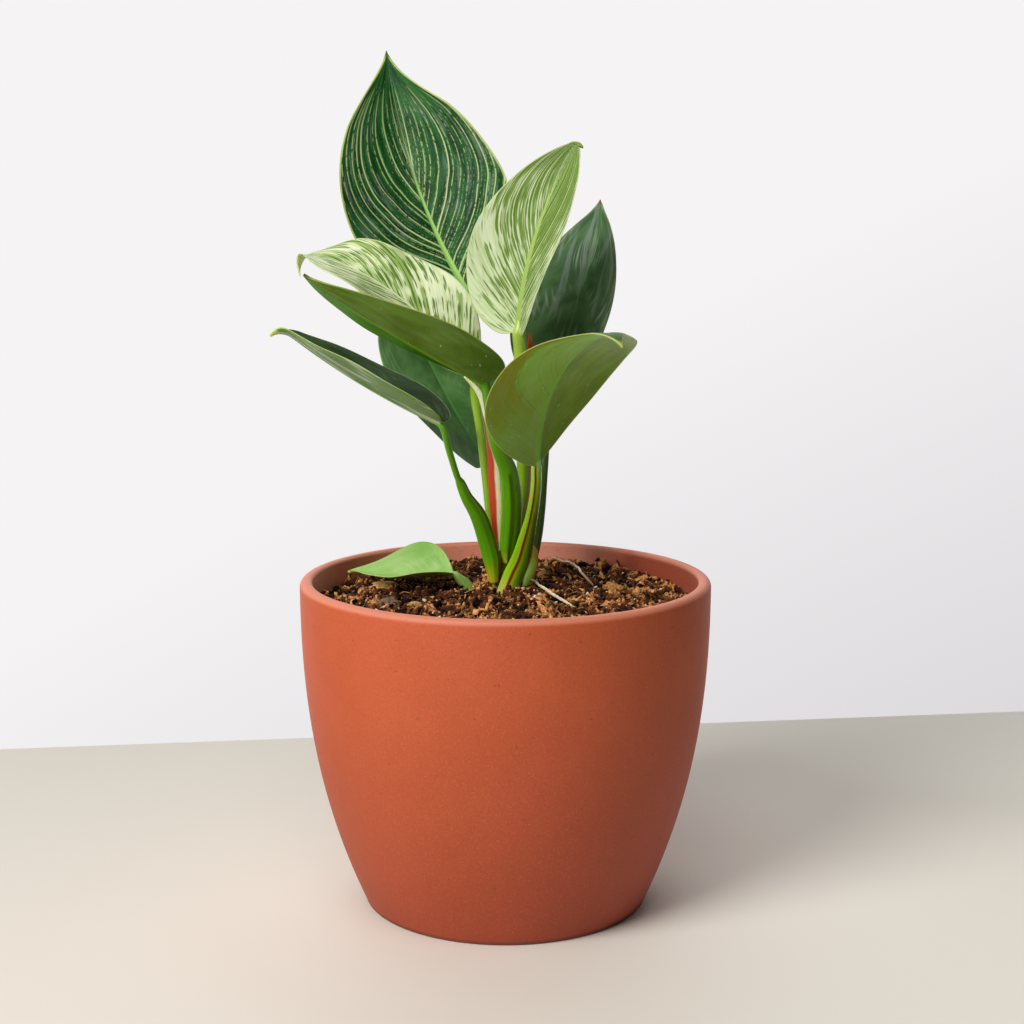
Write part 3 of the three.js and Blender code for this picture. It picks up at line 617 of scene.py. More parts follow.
def catmull_rom(points, steps):
    """Points on a centripetal curve through the given ones, and its direction there."""
    points = np.asarray(points, float)
    padded = np.vstack([2 * points[0] - points[1], points, 2 * points[-1] - points[-2]])
    places = np.linspace(0, len(points) - 1, steps)
    curve = np.zeros((steps, 3))
    slope = np.zeros((steps, 3))
    for i, place in enumerate(places):
        span = min(int(place), len(points) - 2)
        u = place - span
        p0, p1, p2, p3 = padded[span:span + 4]
        d0 = np.linalg.norm(p1 - p0) ** 0.5
        d1 = np.linalg.norm(p2 - p1) ** 0.5
        d2 = np.linalg.norm(p3 - p2) ** 0.5
        start = ((p1 - p0) / d0 - (p2 - p0) / (d0 + d1) + (p2 - p1) / d1) * d1
        end = ((p2 - p1) / d1 - (p3 - p1) / (d1 + d2) + (p3 - p2) / d2) * d1
        a = 2 * p1 - 2 * p2 + start + end
        b = -3 * p1 + 3 * p2 - 2 * start - end
        curve[i] = ((a * u + b) * u + start) * u + p1
        slope[i] = (3 * a * u + 2 * b) * u + start
    return curve, unit(slope), places


def sweep_line(points, step):
    """A smooth line through the points of a stalk: its places, its two cross directions (deep is as
    near to +Y as it can be), how far along they are, and the half width and depth there."""
    length = sum(math.dist(a[:3], b[:3]) for a, b in zip(points, points[1:]))
    curve, direction, places = catmull_rom([p[:3] for p in points], max(FEWEST_RINGS, int(length / step)))
    deep = unit(np.array([0.0, 1.0, 0.0]) - direction * direction[:, 1:2])
    spots = np.arange(len(points))
    half_width = np.interp(places, spots, [p[3] for p in points])[:, None]
    half_depth = np.interp(places, spots, [p[4] for p in points])[:, None]
    return curve, np.cross(deep, direction), deep, places[:, None] / places[-1], half_width, half_depth


def swept(curve, wide, deep, across, depth):
    """Points about a curve, at these distances along its two cross directions."""
    return curve[:, None] + wide[:, None] * across[..., None] + deep[:, None] * depth[..., None]


# ---------------------------------------------------------------- materials

def linear(colour):
    """A screen colour as Blender wants it. One of four numbers is light already."""
    if len(colour) == 4:
        return colour
    shares = [channel / 255 for channel in colour]
    return (*(s / 12.92 if s <= 0.04045 else ((s + 0.055) / 1.055) ** 2.4 for s in shares), 1.0)


class Value:
    """What comes out of a node. A sum or product with it is a node too."""

    def __init__(self, nodes, socket):
        self.nodes = nodes
        self.socket = socket

    def __add__(self, other):
        return self.nodes.math("ADD", self, other)

    def __sub__(self, other):
        return self.nodes.math("SUBTRACT", self, other)

    def __mul__(self, other):
        return self.nodes.math("MULTIPLY", self, other)

    def __truediv__(self, other):
        return self.nodes.math("DIVIDE", self, other)

    def step(self, low, high):
        """0 at low and 1 at high, with soft ends; low may be the higher one."""
        inputs = {0: self, 1: low, 2: high}
        return self.nodes.add("ShaderNodeMapRange", inputs, interpolation_type="SMOOTHSTEP")

    def line(self, low, high, start, end):
        """start at low and end at high, straight between the two and level beyond them."""
        return self.nodes.add("ShaderNodeMapRange", {0: self, 1: low, 2: high, 3: start, 4: end})

    def sibling(self, output):
        return Value(self.nodes, self.socket.node.outputs[output])


class Nodes:
    """A node tree being put together. Each method adds a node and gives what comes out of it."""

    def __init__(self, holder):
        holder.use_nodes = True
        self.tree = holder.node_tree
        self.tree.nodes.clear()

    def add(self, kind, inputs, output=0, **settings):
        node = self.tree.nodes.new(kind)
        for key, value in settings.items():
            setattr(node, key, value)
        for key, value in inputs.items():
            if isinstance(value, Value):
                self.tree.links.new(value.socket, node.inputs[key])
            elif node.inputs[key].type == "RGBA":
                node.inputs[key].default_value = linear(value)
            else:
                node.inputs[key].default_value = value
        return None if output is None else Value(self, node.outputs[output])

    def math(self, operation, a, b, c=0.0):
        return self.add("ShaderNodeMath", {0: a, 1: b, 2: c}, operation=operation)

    def mix(self, share, a, b, blend_type="MIX"):
        inputs = {0: share, 6: a, 7: b}
        return self.add("ShaderNodeMix", inputs, 2, data_type="RGBA", blend_type=blend_type)

    def tinted(self, colour, tint):
        return self.mix(1.0, colour, tint, "MULTIPLY")

    def coated(self, colour, *coats):
        """A colour with coats over it: of each, how much there is and its colour."""
        for share, coat in coats:
            colour = self.mix(share, colour, coat)
        return colour

    def vector(self, x, y, z=0.0):
        return self.add("ShaderNodeCombineXYZ", {0: x, 1: y, 2: z})

    def parts(self, vector):
        """The three numbers of a vector."""
        first = self.add("ShaderNodeSeparateXYZ", {0: vector})
        return first, first.sibling(1), first.sibling(2)

    def noise(self, vector, scale, detail=2.0, roughness=0.5):
        """Soft noise about 0.5, with details of about 1 / scale."""
        inputs = {"Vector": vector, "Scale": scale, "Detail": detail, "Roughness": roughness}
        return self.add("ShaderNodeTexNoise", inputs)

    def lines(self, where, randomness=0.8):
        """Distance to the nearest of uneven lines, one for each unit of where, and a number
        between 0 and 1 that is that line's own."""
        distance = self.add(
            "ShaderNodeTexVoronoi", {"W": where, "Scale": 1.0, "Randomness": randomness}, "Distance",
            voronoi_dimensions="1D", feature="F1",
        )
        return distance, self.parts(distance.sibling("Color"))[0]


class Look(Nodes):
    """A material being put together."""

    def __init__(self, name):
        self.material = bpy.data.materials.new(name)
        super().__init__(self.material)

    def attribute(self, name):
        """The three numbers of a vector that the mesh carries."""
        return self.parts(self.add("ShaderNodeAttribute", {}, "Vector", attribute_name=name))

    def place(self):
        """Where the point is on the object, in metres: no piece is scaled or turned."""
        return self.add("ShaderNodeTexCoord", {}, "Object")

    def bump(self, height, strength, distance_mm):
        inputs = {"Height": height, "Strength": strength, "Distance": distance_mm * MM}
        return self.add("ShaderNodeBump", inputs)

    def finish(self, colour, roughness, normal, **extra):
        """The surface itself. Names in extra are the shader's own, with _ for a space."""
        inputs = {"Base Color": colour, "Roughness": roughness, "Normal": normal}
        inputs.update((key.replace("_", " "), value) for key, value in extra.items())
        self.add("ShaderNodeOutputMaterial", {0: self.add("ShaderNodeBsdfPrincipled", inputs)}, None)
        return self.material


class LeafLook(Look):
    """A blade's material. It knows of each point the side vein through it and how far out along that
    it is, its side (-1 left, 1 right), its share of the way to the tip, its distances from midrib
    and margin, whether it is on the underside, how closely the veins run and how narrow the blade is."""

    def __init__(self, name, colours):
        super().__init__(name)
        self.colours = {**LEAF_DEFAULTS, **colours}
        self.vein, self.flow, self.side = self.attribute("vein")
        self.share, self.from_rib, self.from_margin = self.attribute("spot")
        self.under, self.slope, self.crowd = self.attribute("face")

    def grain(self, across=1, along=1, scale=1.0, detail=2.0):
        """Noise that follows the side veins, with its own scale across and along them."""
        vein = self.vein if across == 1 else self.vein * across
        flow = self.flow if along == 1 else self.flow * along
        return self.noise(self.vector(vein, flow, self.side), scale, detail)

    def across_veins(self, pitch, offset):
        """Goes up by one for each line along the veins, pitch apart; offset parts the two halves."""
        return self.math("MULTIPLY_ADD", self.vein, 1 / pitch, self.side * offset)

    def wax_streaks(self):
        """Painted sheen: pale streaks along the side veins, in cloudy patches."""
        streak = self.grain(0.9, 0.05, detail=3.0).step(0.46, 0.68)
        return streak * self.grain(scale=0.045, detail=1.0).step(0.4, 0.6)

    def sheen(self):
        """Painted sheen: soft bands that run lengthwise."""
        band = self.vector(self.share * 3.2, self.from_rib * 0.32, self.side)
        return self.noise(band, 1.0, 1.0).step(0.52, 0.66)


def pinstripe_colour(look):
    """Dark green with thin cream lines along the side veins, broken up and fading to the tip."""

    def layer(where, pitch, randomness, half, low, high, crowd):
        """One set of lines: each has its own strength, and weak ones are dashed and end early."""
        distance, own = look.lines(where, randomness)
        distance = distance * pitch / look.slope
        half = own.line(0.0, 1.0, 0.6, 1.25) * half * look.share.line(0.1, 0.9, 1.25, 0.8)
        drawn = (distance / half).step(1.4, 0.4)
        beads = look.noise(look.vector(own * 60.0, look.flow * 0.42, look.side), 1.0, 3.0, 0.6)
        gaps = own.line(0.0, 1.0, high, low) + look.share.line(0.3, 0.9, 0.0, 0.1)
        unbroken = (beads - gaps).step(-0.05, 0.03)
        ends = look.crowd - own.line(0.0, 1.0, 1.3, crowd)
        strength = ends.step(0.6, -0.2) * own.line(0.0, 1.0, 0.45, 1.0)
        strength = strength * look.share.line(0.58, 0.88, 1.0, 0.25)
        return drawn * unbroken * strength, distance

    wobble = look.grain(scale=0.035, detail=1.0) * 0.9
    where = look.across_veins(PINSTRIPE_PITCH, 17.3) + wobble
    bold, distance = layer(where, PINSTRIPE_PITCH, 0.85, PINSTRIPE_HALF * 1.4, 0.24, 0.52, 3.4)
    between = where * FINE_LINES + 7.1
    fine, _ = layer(between, PINSTRIPE_PITCH / FINE_LINES, 0.9, PINSTRIPE_HALF * 0.7, 0.48, 0.6, 2.2)
    flecks = look.grain(1.6, 0.7).step(0.66, 0.72) * look.from_rib.step(16.0, 4.0)
    cloud = look.grain(0.37, 0.05, detail=1.0)
    halo = distance.step(1.1, 0.2) * cloud.step(0.35, 0.6)
    colours = look.colours
    return look.coated(
        look.mix(cloud.step(0.38, 0.62), *colours["field"]),
        (look.grain(2.6, 1.1).step(0.56, 0.7) * 0.45, colours["halo"]),
        (halo * 0.22, colours["halo"]),
        (fine * 0.4, colours["mark"]),
        (look.math("MAXIMUM", bold * 0.95, flecks * 0.7), colours["mark"]),
    )


def cream_colour(look):
    """Cream with green spindles along the side veins, thickest near the midrib and the tip."""
    colours = look.colours
    patches = look.grain(scale=0.07, detail=1.0)
    inner = (look.from_margin / colours["pale_margin"]).step(0.0, 1.0)
    green = look.share.line(0.15, 0.95, colours["green_low"], colours["green_high"])
    green = green + inner.line(0.0, 1.0, -0.16, 0.0) * look.share.step(0.8, 0.45)
    green = green + look.side * colours["side_green"] + (patches - 0.5) * colours["patches"]

    def spindles(pitch, stretch, level, gain, most, seed):
        """Streaks that follow the side veins and run out to a point at both ends."""
        distance, own = look.lines(look.across_veins(pitch, 3.3 + seed), 0.9)
        along = look.vector(own * 50.0, look.flow * stretch, look.side)
        reach = (look.noise(along, 1.0, 1.0) + green - level) * gain
        return (distance - look.math("MINIMUM", reach, most)).step(0.1, -0.04)

    shade = look.grain(1.1, 0.03, detail=1.0)
    wash = (shade * 0.5 + patches * 0.5 + green).step(0.48, 0.64)
    long, short = colours["streaks"]
    return look.coated(
        look.mix(shade.step(0.38, 0.62), *colours["field"]),
        (wash * colours["wash"], colours["green"]),
        (spindles(1.8, long, 0.48, 4.0, 0.28, 0) * 0.8, colours["green"]),
        (spindles(1.35, long, 0.48, 3.0, 0.2, 5) * 0.75, colours["pale"]),
        (spindles(1.15, short, 0.53, 1.8, 0.24, 11) * 0.85, colours["mark"]),
        (spindles(0.8, 1.5 * short, 0.56, 1.8, 0.26, 17) * 0.85, colours["mark"]),
    )


def plain_colour(look):
    """One green, with faint pale streaks in the mark colour along the side veins: painted sheen."""
    field = look.mix(look.grain(scale=0.12, detail=3.0).step(0.3, 0.7), *look.colours["field"])
    return look.mix(look.wax_streaks() * look.colours["wax"], field, look.colours["mark"])


def shadowed(look, colour):
    """A painted shadow on the right half: a brown band that starts at one of its veins. Paler at its
    foot, partly its own green and partly painted sheen.
    """
    start, shadow_band, foot = look.colours["shadow_band"]
    waver = look.vein + look.noise(look.flow, 0.08).line(0.3, 0.7, -1.2, 1.2)
    # Painted shadow: a brown band over the right half, from one vein on.
    band = waver.step(start - 0.5, start + 0.9) * look.share.step(0.14, 0.5)
    return look.coated(
        colour,
        (band * look.side.step(0.0, 0.4) * 0.8, shadow_band),
        # Paler near the foot: partly its own green, partly painted sheen.
        (look.share.step(0.36, 0.1) * look.side.step(0.0, 2.0) * 0.6, foot),
    )


def lower_colour(look):
    """The underside: two greens, one for each half, with faint veins, painted sheen and a few
    scratches, and on one blade a painted shadow.
    """
    colours = look.colours
    mottle = look.grain(1, 0.4, scale=0.16, detail=3.0).step(0.3, 0.7)
    left = look.mix(mottle, *colours["under"])
    right = look.mix(mottle, *colours.get("under_right", colours["under"]))
    lower = look.mix(look.side.step(-0.3, 0.3), left, right)
    if "shadow_band" in colours:
        lower = shadowed(look, lower)
    distance, own = look.lines(look.across_veins(2.6, 9.7))
    return look.coated(
        lower,
        (distance.step(0.1, 0.02) * own.line(0.0, 1.0, 0.1, 0.5), look.tinted(lower, PALE_VEIN_AND_SHEEN)),
        (look.sheen() * colours["under_sheen"], PALE_VEIN_AND_SHEEN),
        (look.wax_streaks() * colours["under_wax"], SHEEN_OVER_GREEN),
        (look.grain(1.4, 0.16, detail=1.0).step(0.735, 0.76) * 0.6, SCRATCH),
    )


UPPER_SIDES = {"pinstripe": pinstripe_colour, "cream": cream_colour, "plain": plain_colour}


def leaf_material(name, colours):
    """Both sides of a blade, each with its markings and midrib, and the margin and tip over them."""
    look = LeafLook(name, colours)
    colours = look.colours
    upper = UPPER_SIDES[colours["kind"]](look)
    # Painted sheen over the upper side: streaks along the side veins, and soft lengthwise bands.
    if "veil" in colours:
        upper = look.mix(look.wax_streaks() * colours["veil"], upper, SHEEN_OVER_DARK)
    if "sheen" in colours:
        upper = look.mix(look.sheen() * colours["sheen"], upper, SHEEN_OVER_DARK)

    reach, edge, tip = colours["rib_reach"], colours["edge_width"], colours["tip_from"]
    rib_half = look.share.line(0.0, reach, colours["rib_width"], 0.15)
    on_rib = (look.from_rib / rib_half).step(1.0, 0.55)
    upper = look.mix(on_rib * look.share.step(reach, reach - 0.15), upper, colours["rib"])
    lower = look.mix(on_rib * 0.85, lower_colour(look), colours["rib_under"])
    colour = look.coated(
        upper,
        (look.under.step(0.3, 0.7), lower),
        (look.from_margin.step(edge, 0.3 * edge) * 0.85, colours["edge"]),
        (look.share.step(tip, tip + 0.025), colours["tip"]),
    )
    ridges, _ = look.lines(look.across_veins(1.2, 5.3), 0.4)
    grain = look.grain(scale=3.0)
    return look.finish(
        colour,
        grain.line(0.3, 0.7, colours["gloss"] - 0.04, colours["gloss"] + 0.08),
        look.bump(ridges * 0.4 + grain * 0.35, 0.2, 0.2),
        Specular_IOR_Level=colours["shine"], Subsurface_Weight=0.1, Subsurface_Scale=0.0015,
    )


def stalk_material(name, colours):
    """Fresh green stalk: streaked lengthwise, paler at its foot, brown along the sheath's seam, and
    darker on its right side, partly its own colour and partly painted shade.
    """
    look = Look(name)
    share, around, seam = look.attribute("stalk")
    streak = look.noise(look.vector(share * 5.0, around * 9.0), 1.0, 3.0)
    colour = look.coated(
        colours["top"],
        (share.step(0.0, 0.5), colours["low"]),
        (share.step(0.86, 1.0), colours["foot"]),
    )
    colour = look.mix(streak.step(0.4, 0.7) * 0.5, colour, look.tinted(colour, STREAK_TINT))
    # The low part's right side, darker: partly its own colour, partly painted shade away from the light.
    right = look.tinted(colour, colours.get("right", WHITE))
    colour = look.mix(around.step(0.5, 0.34) * share.step(0.3, 0.5), colour, right)
    halo = look.mix(0.5, colour, colours.get("seam", SEAM_HALO))
    colour = look.coated(
        colour,
        (seam.step(0.04, 0.4) * 0.6, halo),
        (seam.step(0.3, 0.75), colours.get("seam", SEAM_COLOUR)),
    )
    grain = look.noise(look.place(), 900.0)
    return look.finish(
        colour, grain.line(0.3, 0.7, 0.28, 0.42), look.bump(streak * 0.8 + grain * 0.2, 0.2, 0.3),
        Specular_IOR_Level=0.5, Subsurface_Weight=0.15, Subsurface_Scale=0.002,
    )


def sheath_material(name):
    """Thin bract: one colour on its left and another on its right, divided by a line that moves
    from its top to its bottom, with fine lengthwise lines. A faint glow stands in for the light
    that comes through it."""
    colours = SHEATH_LOOKS[name]
    look = Look(name)
    share, around, _ = look.attribute("stalk")
    waver = look.noise(look.vector(share * 6.0, 0.0), 1.0) * 0.5
    off = around + waver - share.line(0.2, 0.5, *colours["turn_at"])
    fibre = look.noise(look.vector(share * 3.0, around * 8.0), 1.0, 3.0)
    left, right = look.mix(fibre, *colours["left"]), look.mix(fibre, *colours["right"])
    colour = look.coated(left, (off.step(-0.1, 0.35), right), (share.step(0.14, 0.03), colours["tip"]))
    return look.finish(
        colour, 0.45, look.bump(fibre, 0.4, 0.3), Subsurface_Weight=0.7, Subsurface_Scale=0.003,
        Emission_Color=colour, Emission_Strength=colours["glow"],
    )


def clay_material():
    """Matt clay-coloured glaze with a fine speckle, a painted highlight on the lip, and painted shade
    that darkens it towards the foot, with a dark band along the foot's bottom edge. The inside has
    painted light and shade: pale at the back, darker at the right."""
    look = Look("pot_clay")
    place = look.place()
    x, y, z = look.parts(place)
    radius = look.add("ShaderNodeVectorMath", {0: look.vector(x, y)}, "Value", operation="LENGTH")
    inner = POT_RIM_RADIUS - POT_WALL
    inside = radius.step((inner + 1) * MM, inner * MM) * z.step(0.1, 0.115)
    # Painted light and shade on the inside wall: pale at the back, darker at the right.
    wall = look.mix(x.step(0.036, 0.056), (236, 150, 124), (160, 69, 44))
    cloud = look.noise(place, 28.0, 4.0, 0.6)
    colour = look.coated(
        look.mix(cloud.step(0.35, 0.7), (188, 79, 32), (194, 85, 38)),
        (look.noise(place, 13.0).step(0.4, 0.62) * 0.35, (190, 76, 46)),
        (inside, wall),
    )
    fine = look.noise(place, 1300.0, 3.0, 0.7)
    colour = look.coated(
        colour,
        # Painted shade: darker and deeper in colour towards the foot.
        (z.line(0.11, 0.0, 0.0, 1.0), look.tinted(colour, (216, 200, 196))),
        # Painted highlight along the lip.
        (z.step((POT_HEIGHT - 2.4) * MM, (POT_HEIGHT - 0.8) * MM) * 0.5, (236, 158, 130)),
        (fine.step(0.5, 0.72) * 0.35, (208, 116, 72)),
        (fine.step(0.46, 0.28) * 0.45, (146, 58, 24)),
        (z.step(2.2 * MM, 1.2 * MM) * 0.6, (96, 42, 24)),
        (look.noise(place, 420.0, 1.0).step(0.74, 0.79) * 0.4, (96, 40, 24)),
    )
    return look.finish(
        colour, fine.line(0.3, 0.7, 0.62, 0.72), look.bump(fine + cloud * 0.8, 0.16, 0.25),
        Specular_IOR_Level=0.6,
    )


def earth_material(name, dark, middle, light):
    """Crumbly brown: each piece carries its own tone, from dark to light."""
    look = Look(name)
    grain = look.noise(look.place(), 1400.0, 4.0, 0.65)
    tone = look.add("ShaderNodeAttribute", {}, "Fac", attribute_name="tone")
    tone = tone + grain.line(0.3, 0.7, -0.22, 0.22)
    colour = look.coated(dark, (tone.step(0.1, 0.55), middle), (tone.step(0.6, 0.98), light))
    return look.finish(colour, 0.85, look.bump(grain, 0.7, 0.5), Specular_IOR_Level=0.12)


def table_material():
    """Smooth pale stone, a little darker towards the left: painted light that makes it paler to the right."""
    look = Look("stage_table")
    place = look.place()
    cloud = look.noise(place, 3.0, 3.0)
    left = look.mix(cloud, (216, 210, 198), (220, 215, 204))
    right = look.mix(cloud, (229, 224, 212), (233, 229, 218))
    # Painted light: the table is paler towards the right.
    colour = look.mix(look.parts(place)[0].step(-0.3, 0.15), left, right)
    bump = look.bump(look.noise(place, 700.0), 0.05, 0.1)
    return look.finish(colour, 0.7, bump, Specular_IOR_Level=0.25)


# ---------------------------------------------------------------- blades

def midrib_frames(leaf):
    """Place, along, up and left at every fine step of the midrib."""
    heading, rise = math.radians(leaf["heading"]), math.radians(leaf["rise"])
    level = np.array([math.cos(heading), math.sin(heading), 0])
    upright = np.array([0, 0, 1.0])
    along = math.cos(rise) * level + math.sin(rise) * upright
    up = -math.sin(rise) * level + math.cos(rise) * upright
    left = np.cross(up, along)
    roll = math.radians(leaf["roll"])
    up, left = turned(up, along, roll), turned(left, along, roll)
    place = np.array(leaf["base"], float)
    step = 1 / FRAME_STEPS
    frames = []
    for i in range(FRAME_STEPS + 1):
        frames.append((place, along, up, left))
        s = (i + 0.5) * step
        hook = leaf["hook"] / (1 - HOOK_START) if s > HOOK_START else 0
        flick = leaf.get("flick", 0) / (1 - FLICK_START) if s > FLICK_START else 0
        arch = math.radians(leaf["arch"] + hook) * step
        along, up = turned(along, left, arch), turned(up, left, arch)
        sweep = math.radians(leaf["sweep"] + flick) * step
        along, left = turned(along, up, sweep), turned(left, up, sweep)
        twist = math.radians(leaf["twist"]) * step
        up, left = turned(up, along, twist), turned(left, along, twist)
        place = place + along * leaf["length"] * step
    return np.array(frames)


def blade_half_width(leaf, s):
    widest = leaf["round"] / (leaf["round"] + leaf["taper"])
    outline = (s / widest) ** leaf["round"] * ((1 - s) / (1 - widest)) ** leaf["taper"]
    drawn_out = np.maximum(0, (s - POINT_FROM) / (1 - POINT_FROM)) ** POINT_POWER
    half = 0.5 * leaf["width"] * outline * np.maximum(0.1, 1 - leaf["point"] * drawn_out)
    return np.maximum(half, blend(s, BASE_HALF_WIDTH, TIP_HALF_WIDTH))


def vein_numbers(leaf, s, t):
    """Which side vein runs through each point. Number 0 hugs the midrib up to the tip, number 1
    swings out to the margin at the tip, and higher ones end at the margin lower down."""
    last_start, swing, at_base = leaf["veins"]
    numbers = np.linspace(0, MOST_VEIN, 500)
    start = last_start * (1 - numbers / at_base)
    result = np.zeros((len(s), len(t)))
    for i, place in enumerate(s):
        reach = numbers * (1 - np.exp(-(np.maximum(place - start, 0) / swing) ** VEIN_POWER))
        begun = max(0, np.searchsorted(-start, -place, side="left") - 1)
        result[i] = np.interp(t, reach[begun:] + 1e-6 * numbers[begun:], numbers[begun:])
    return result


def slope_along(surface, values):
    """How fast the values change over the surface, for each millimetre."""
    down, across = np.gradient(surface, axis=0), np.gradient(surface, axis=1)
    value_down, value_across = np.gradient(values, axis=0), np.gradient(values, axis=1)
    a = (down * down).sum(axis=-1)
    b = (down * across).sum(axis=-1)
    c = (across * across).sum(axis=-1)
    square = value_down ** 2 * c - 2 * value_down * value_across * b + value_across ** 2 * a
    return np.sqrt(np.maximum(square, 0) / np.maximum(a * c - b * b, 1e-9))


def blade_surface(leaf, s, v):
    """The blade's middle surface over s (base to tip) and v (-1 left to 1 right), its half width,
    the upward direction of the midrib, and the vein through each point, in millimetres."""
    fine = midrib_frames(leaf)
    spots = s * FRAME_STEPS
    low = np.minimum(spots.astype(int), FRAME_STEPS - 1)
    share = (spots - low)[:, None, None]
    place, along, up, left = np.moveaxis(blend(share, fine[low], fine[low + 1]), 1, 0)[:, :, None]
    t = np.abs(v)[None, :]
    side = (v >= 0).astype(int)
    s = s[:, None]
    half = blade_half_width(leaf, s)
    fold = np.radians(leaf["fold"])[side][None, :]
    cup = np.radians(leaf["cup"])[side][None, :] + 1e-6
    across = half * (np.sin(fold + cup * t) - np.sin(fold)) / cup
    lift = half * (np.cos(fold) - np.cos(fold + cup * t)) / cup
    lobe = t ** 2 * np.maximum(0, 1 - s / LOBE_REACH) ** 2 * np.minimum(1, LOBE_RISE * half / leaf["width"])
    wave = np.sin(2 * np.pi * (WAVES * s + np.array(WAVE_PHASE)[side]))
    wave = t ** 2 * wave * np.minimum(1, half / (WAVE_RISE * leaf["width"]))
    vein = vein_numbers(leaf, s[:, 0], t[0, len(v) // 2:]) * leaf["width"] / 2
    vein = np.concatenate([vein[:, :0:-1], vein], axis=1)
    relief = VEIN_RELIEF * np.cos(2 * np.pi * (vein / VEIN_PITCH + VEIN_OFFSET * side))
    relief = relief * smooth(t * half, *VEIN_FROM_RIB) * smooth(half, *VEIN_ON_HALF)
    signed = np.where(v[None, :] < 0, across, -across)
    surface = (
        place
        + left * signed[..., None]
        + up * (lift + leaf["wave"] * wave + relief)[..., None]
        - along * (leaf["lobe"] * lobe)[..., None]
    )
    return surface, half, up[:, 0], vein


def blade_columns():
    """v across a blade, crowded towards the midrib."""
    t = (np.arange(BLADE_COLUMNS + 1) / BLADE_COLUMNS) ** COLUMN_CROWDING
    return np.concatenate([-t[:0:-1], t])


def blade_rows():
    """s along a blade, crowded towards base and tip."""
    even = np.linspace(0, 1, BLADE_ROWS + 1)
    bunched = (1 - np.cos(np.pi * even)) / 2
    return blend(ROW_CROWDING, even, bunched)


def grow_blade(leaf):
    """The blade as a closed skin: its upper side, its right margin, its lower side, its left."""
    s, v = blade_rows(), blade_columns()
    middle, half, up, vein = blade_surface(leaf, s, v)
    along = np.gradient(middle, axis=0)
    across = np.gradient(middle, axis=1)
    t = np.broadcast_to(np.abs(v), vein.shape)
    s = np.broadcast_to(s[:, None], vein.shape)
    from_rib = t * half
    level = 1 - smooth(from_rib, 0, LEVEL_TO)
    normal = unit(blend(level[..., None], unit(np.cross(across, along)), up[:, None]))
    skin = 0.5 * BLADE_THICKNESS * (1 + TIP_THICKENING * smooth(s, *TIP_THICKENS))
    skin = skin * (1 - MARGIN_THINNING * t ** MARGIN_POWER)
    rib = np.exp(-(from_rib / blend(s ** 0.7, *RIB_WIDTHS)) ** 2) * (1 - s) ** 1.1
    over, below = leaf["rib"]
    upper = middle + normal * (skin + over * rib)[..., None]
    lower = middle - normal * (skin + below * rib)[..., None]
    margin = unit(across) * MARGIN_BULGE * BLADE_THICKNESS

    def wrapped(values):
        """Values of the middle surface for the whole ring."""
        return np.concatenate([values, values[:, -1:], values[:, ::-1], values[:, :1]], axis=1)

    rings = np.concatenate([
        upper, middle[:, -1:] + margin[:, -1:], lower[:, ::-1], middle[:, :1] - margin[:, :1],
    ], axis=1)
    side = np.broadcast_to(np.clip(v / SIDES_MEET, -1, 1), vein.shape)
    slope = wrapped(np.clip(slope_along(middle, vein), *VEIN_SLOPES))
    under = np.repeat([0, 0.5, 1, 0.5], [len(v), 1, len(v), 1])
    crowd = np.minimum(0.5 * leaf["width"] / half, MOST_CROWDING)
    face = [np.broadcast_to(values, slope.shape) for values in (under, slope, crowd)]
    ringed_piece(
        f"leaf_{leaf['name']}", f"blade_{leaf['name']}", rings,
        leaf_material(f"leaf_{leaf['name']}", LEAF_LOOKS[leaf["look"]]),
        {
            "vein": with_hubs(wrapped(np.stack([vein, s * leaf["length"] + from_rib, side], axis=-1))),
            "spot": with_hubs(wrapped(np.stack([s, from_rib, (1 - t) * half], axis=-1))),
            "face": with_hubs(np.stack(face, axis=-1)),
        },
    )


# ---------------------------------------------------------------- stalks, sheaths, crown, roots

def seam_shape(seam, curve, angle, mean):
    """How a stalk's section grows into a lip along its sheath's open edge, and the seam's mask."""
    centre = math.radians(270 - seam["angle"])
    off = np.degrees(np.angle(np.exp(1j * (angle - centre))))
    on = smooth(-curve[:, 2:3], -seam["from"], -seam["from"] + 2)
    lip = np.exp(-((off - 9) / 9) ** 2) - 0.8 * np.exp(-((off + 9) / 9) ** 2)
    return on * lip * seam["lip"] / mean, on * np.exp(-((off - 2) / 11) ** 2)


def wobble_of(curve, angle, seed):
    """Noise over a stalk's surface, between -1 and 1."""
    return np.array([
        [
            noise.noise(Vector((x / 2 + seed, y / 2 + k % 3, z / 2 + 3 * math.cos(a))))
            for k, a in enumerate(angle)
        ]
        for x, y, z in curve
    ])


def tube_piece(name, node, points, material, sides=STALK_SIDES, step=STALK_STEP, seam=None, wobble=0, seed=0):
    """A stalk, crown or root: an oval section swept through the points."""
    curve, wide, deep, share, half_width, half_depth = sweep_line(points, step)
    angle = 2 * np.pi * np.arange(sides) / sides
    grow = np.ones((len(curve), sides))
    mask = np.zeros((len(curve), sides))
    if seam:
        lip, mask = seam_shape(seam, curve, angle, (half_width + half_depth) / 2)
        grow = grow + lip
    if wobble:
        grow = grow + wobble * wobble_of(curve, angle, seed)
    rings = swept(
        curve, wide, deep, half_width * np.cos(angle) * grow, half_depth * np.sin(angle) * grow,
    )
    data = np.broadcast_arrays(share, np.cos(angle / 2) ** 2, mask)
    ringed_piece(name, node, rings, material, {"stalk": with_hubs(np.stack(data, axis=-1))})


def grow_stalk(leaf):
    """The stalk, with its top drawn out into the blade's midrib."""
    place, along, up, _ = midrib_frames(leaf)[0]
    over, below = leaf["rib"]
    end = place + along * INTO_BLADE - up * (below - over) / 2
    thin = (over + below) / 2 + 0.2
    node = f"stalk_{leaf['name']}"
    tube_piece(
        f"petiole_{leaf['name']}", node, [(*end, thin, thin), *leaf["stalk"]],
        stalk_material(node, STALK_LOOKS[leaf["stalk_look"]]), seam=SEAMS.get(leaf["name"]),
    )


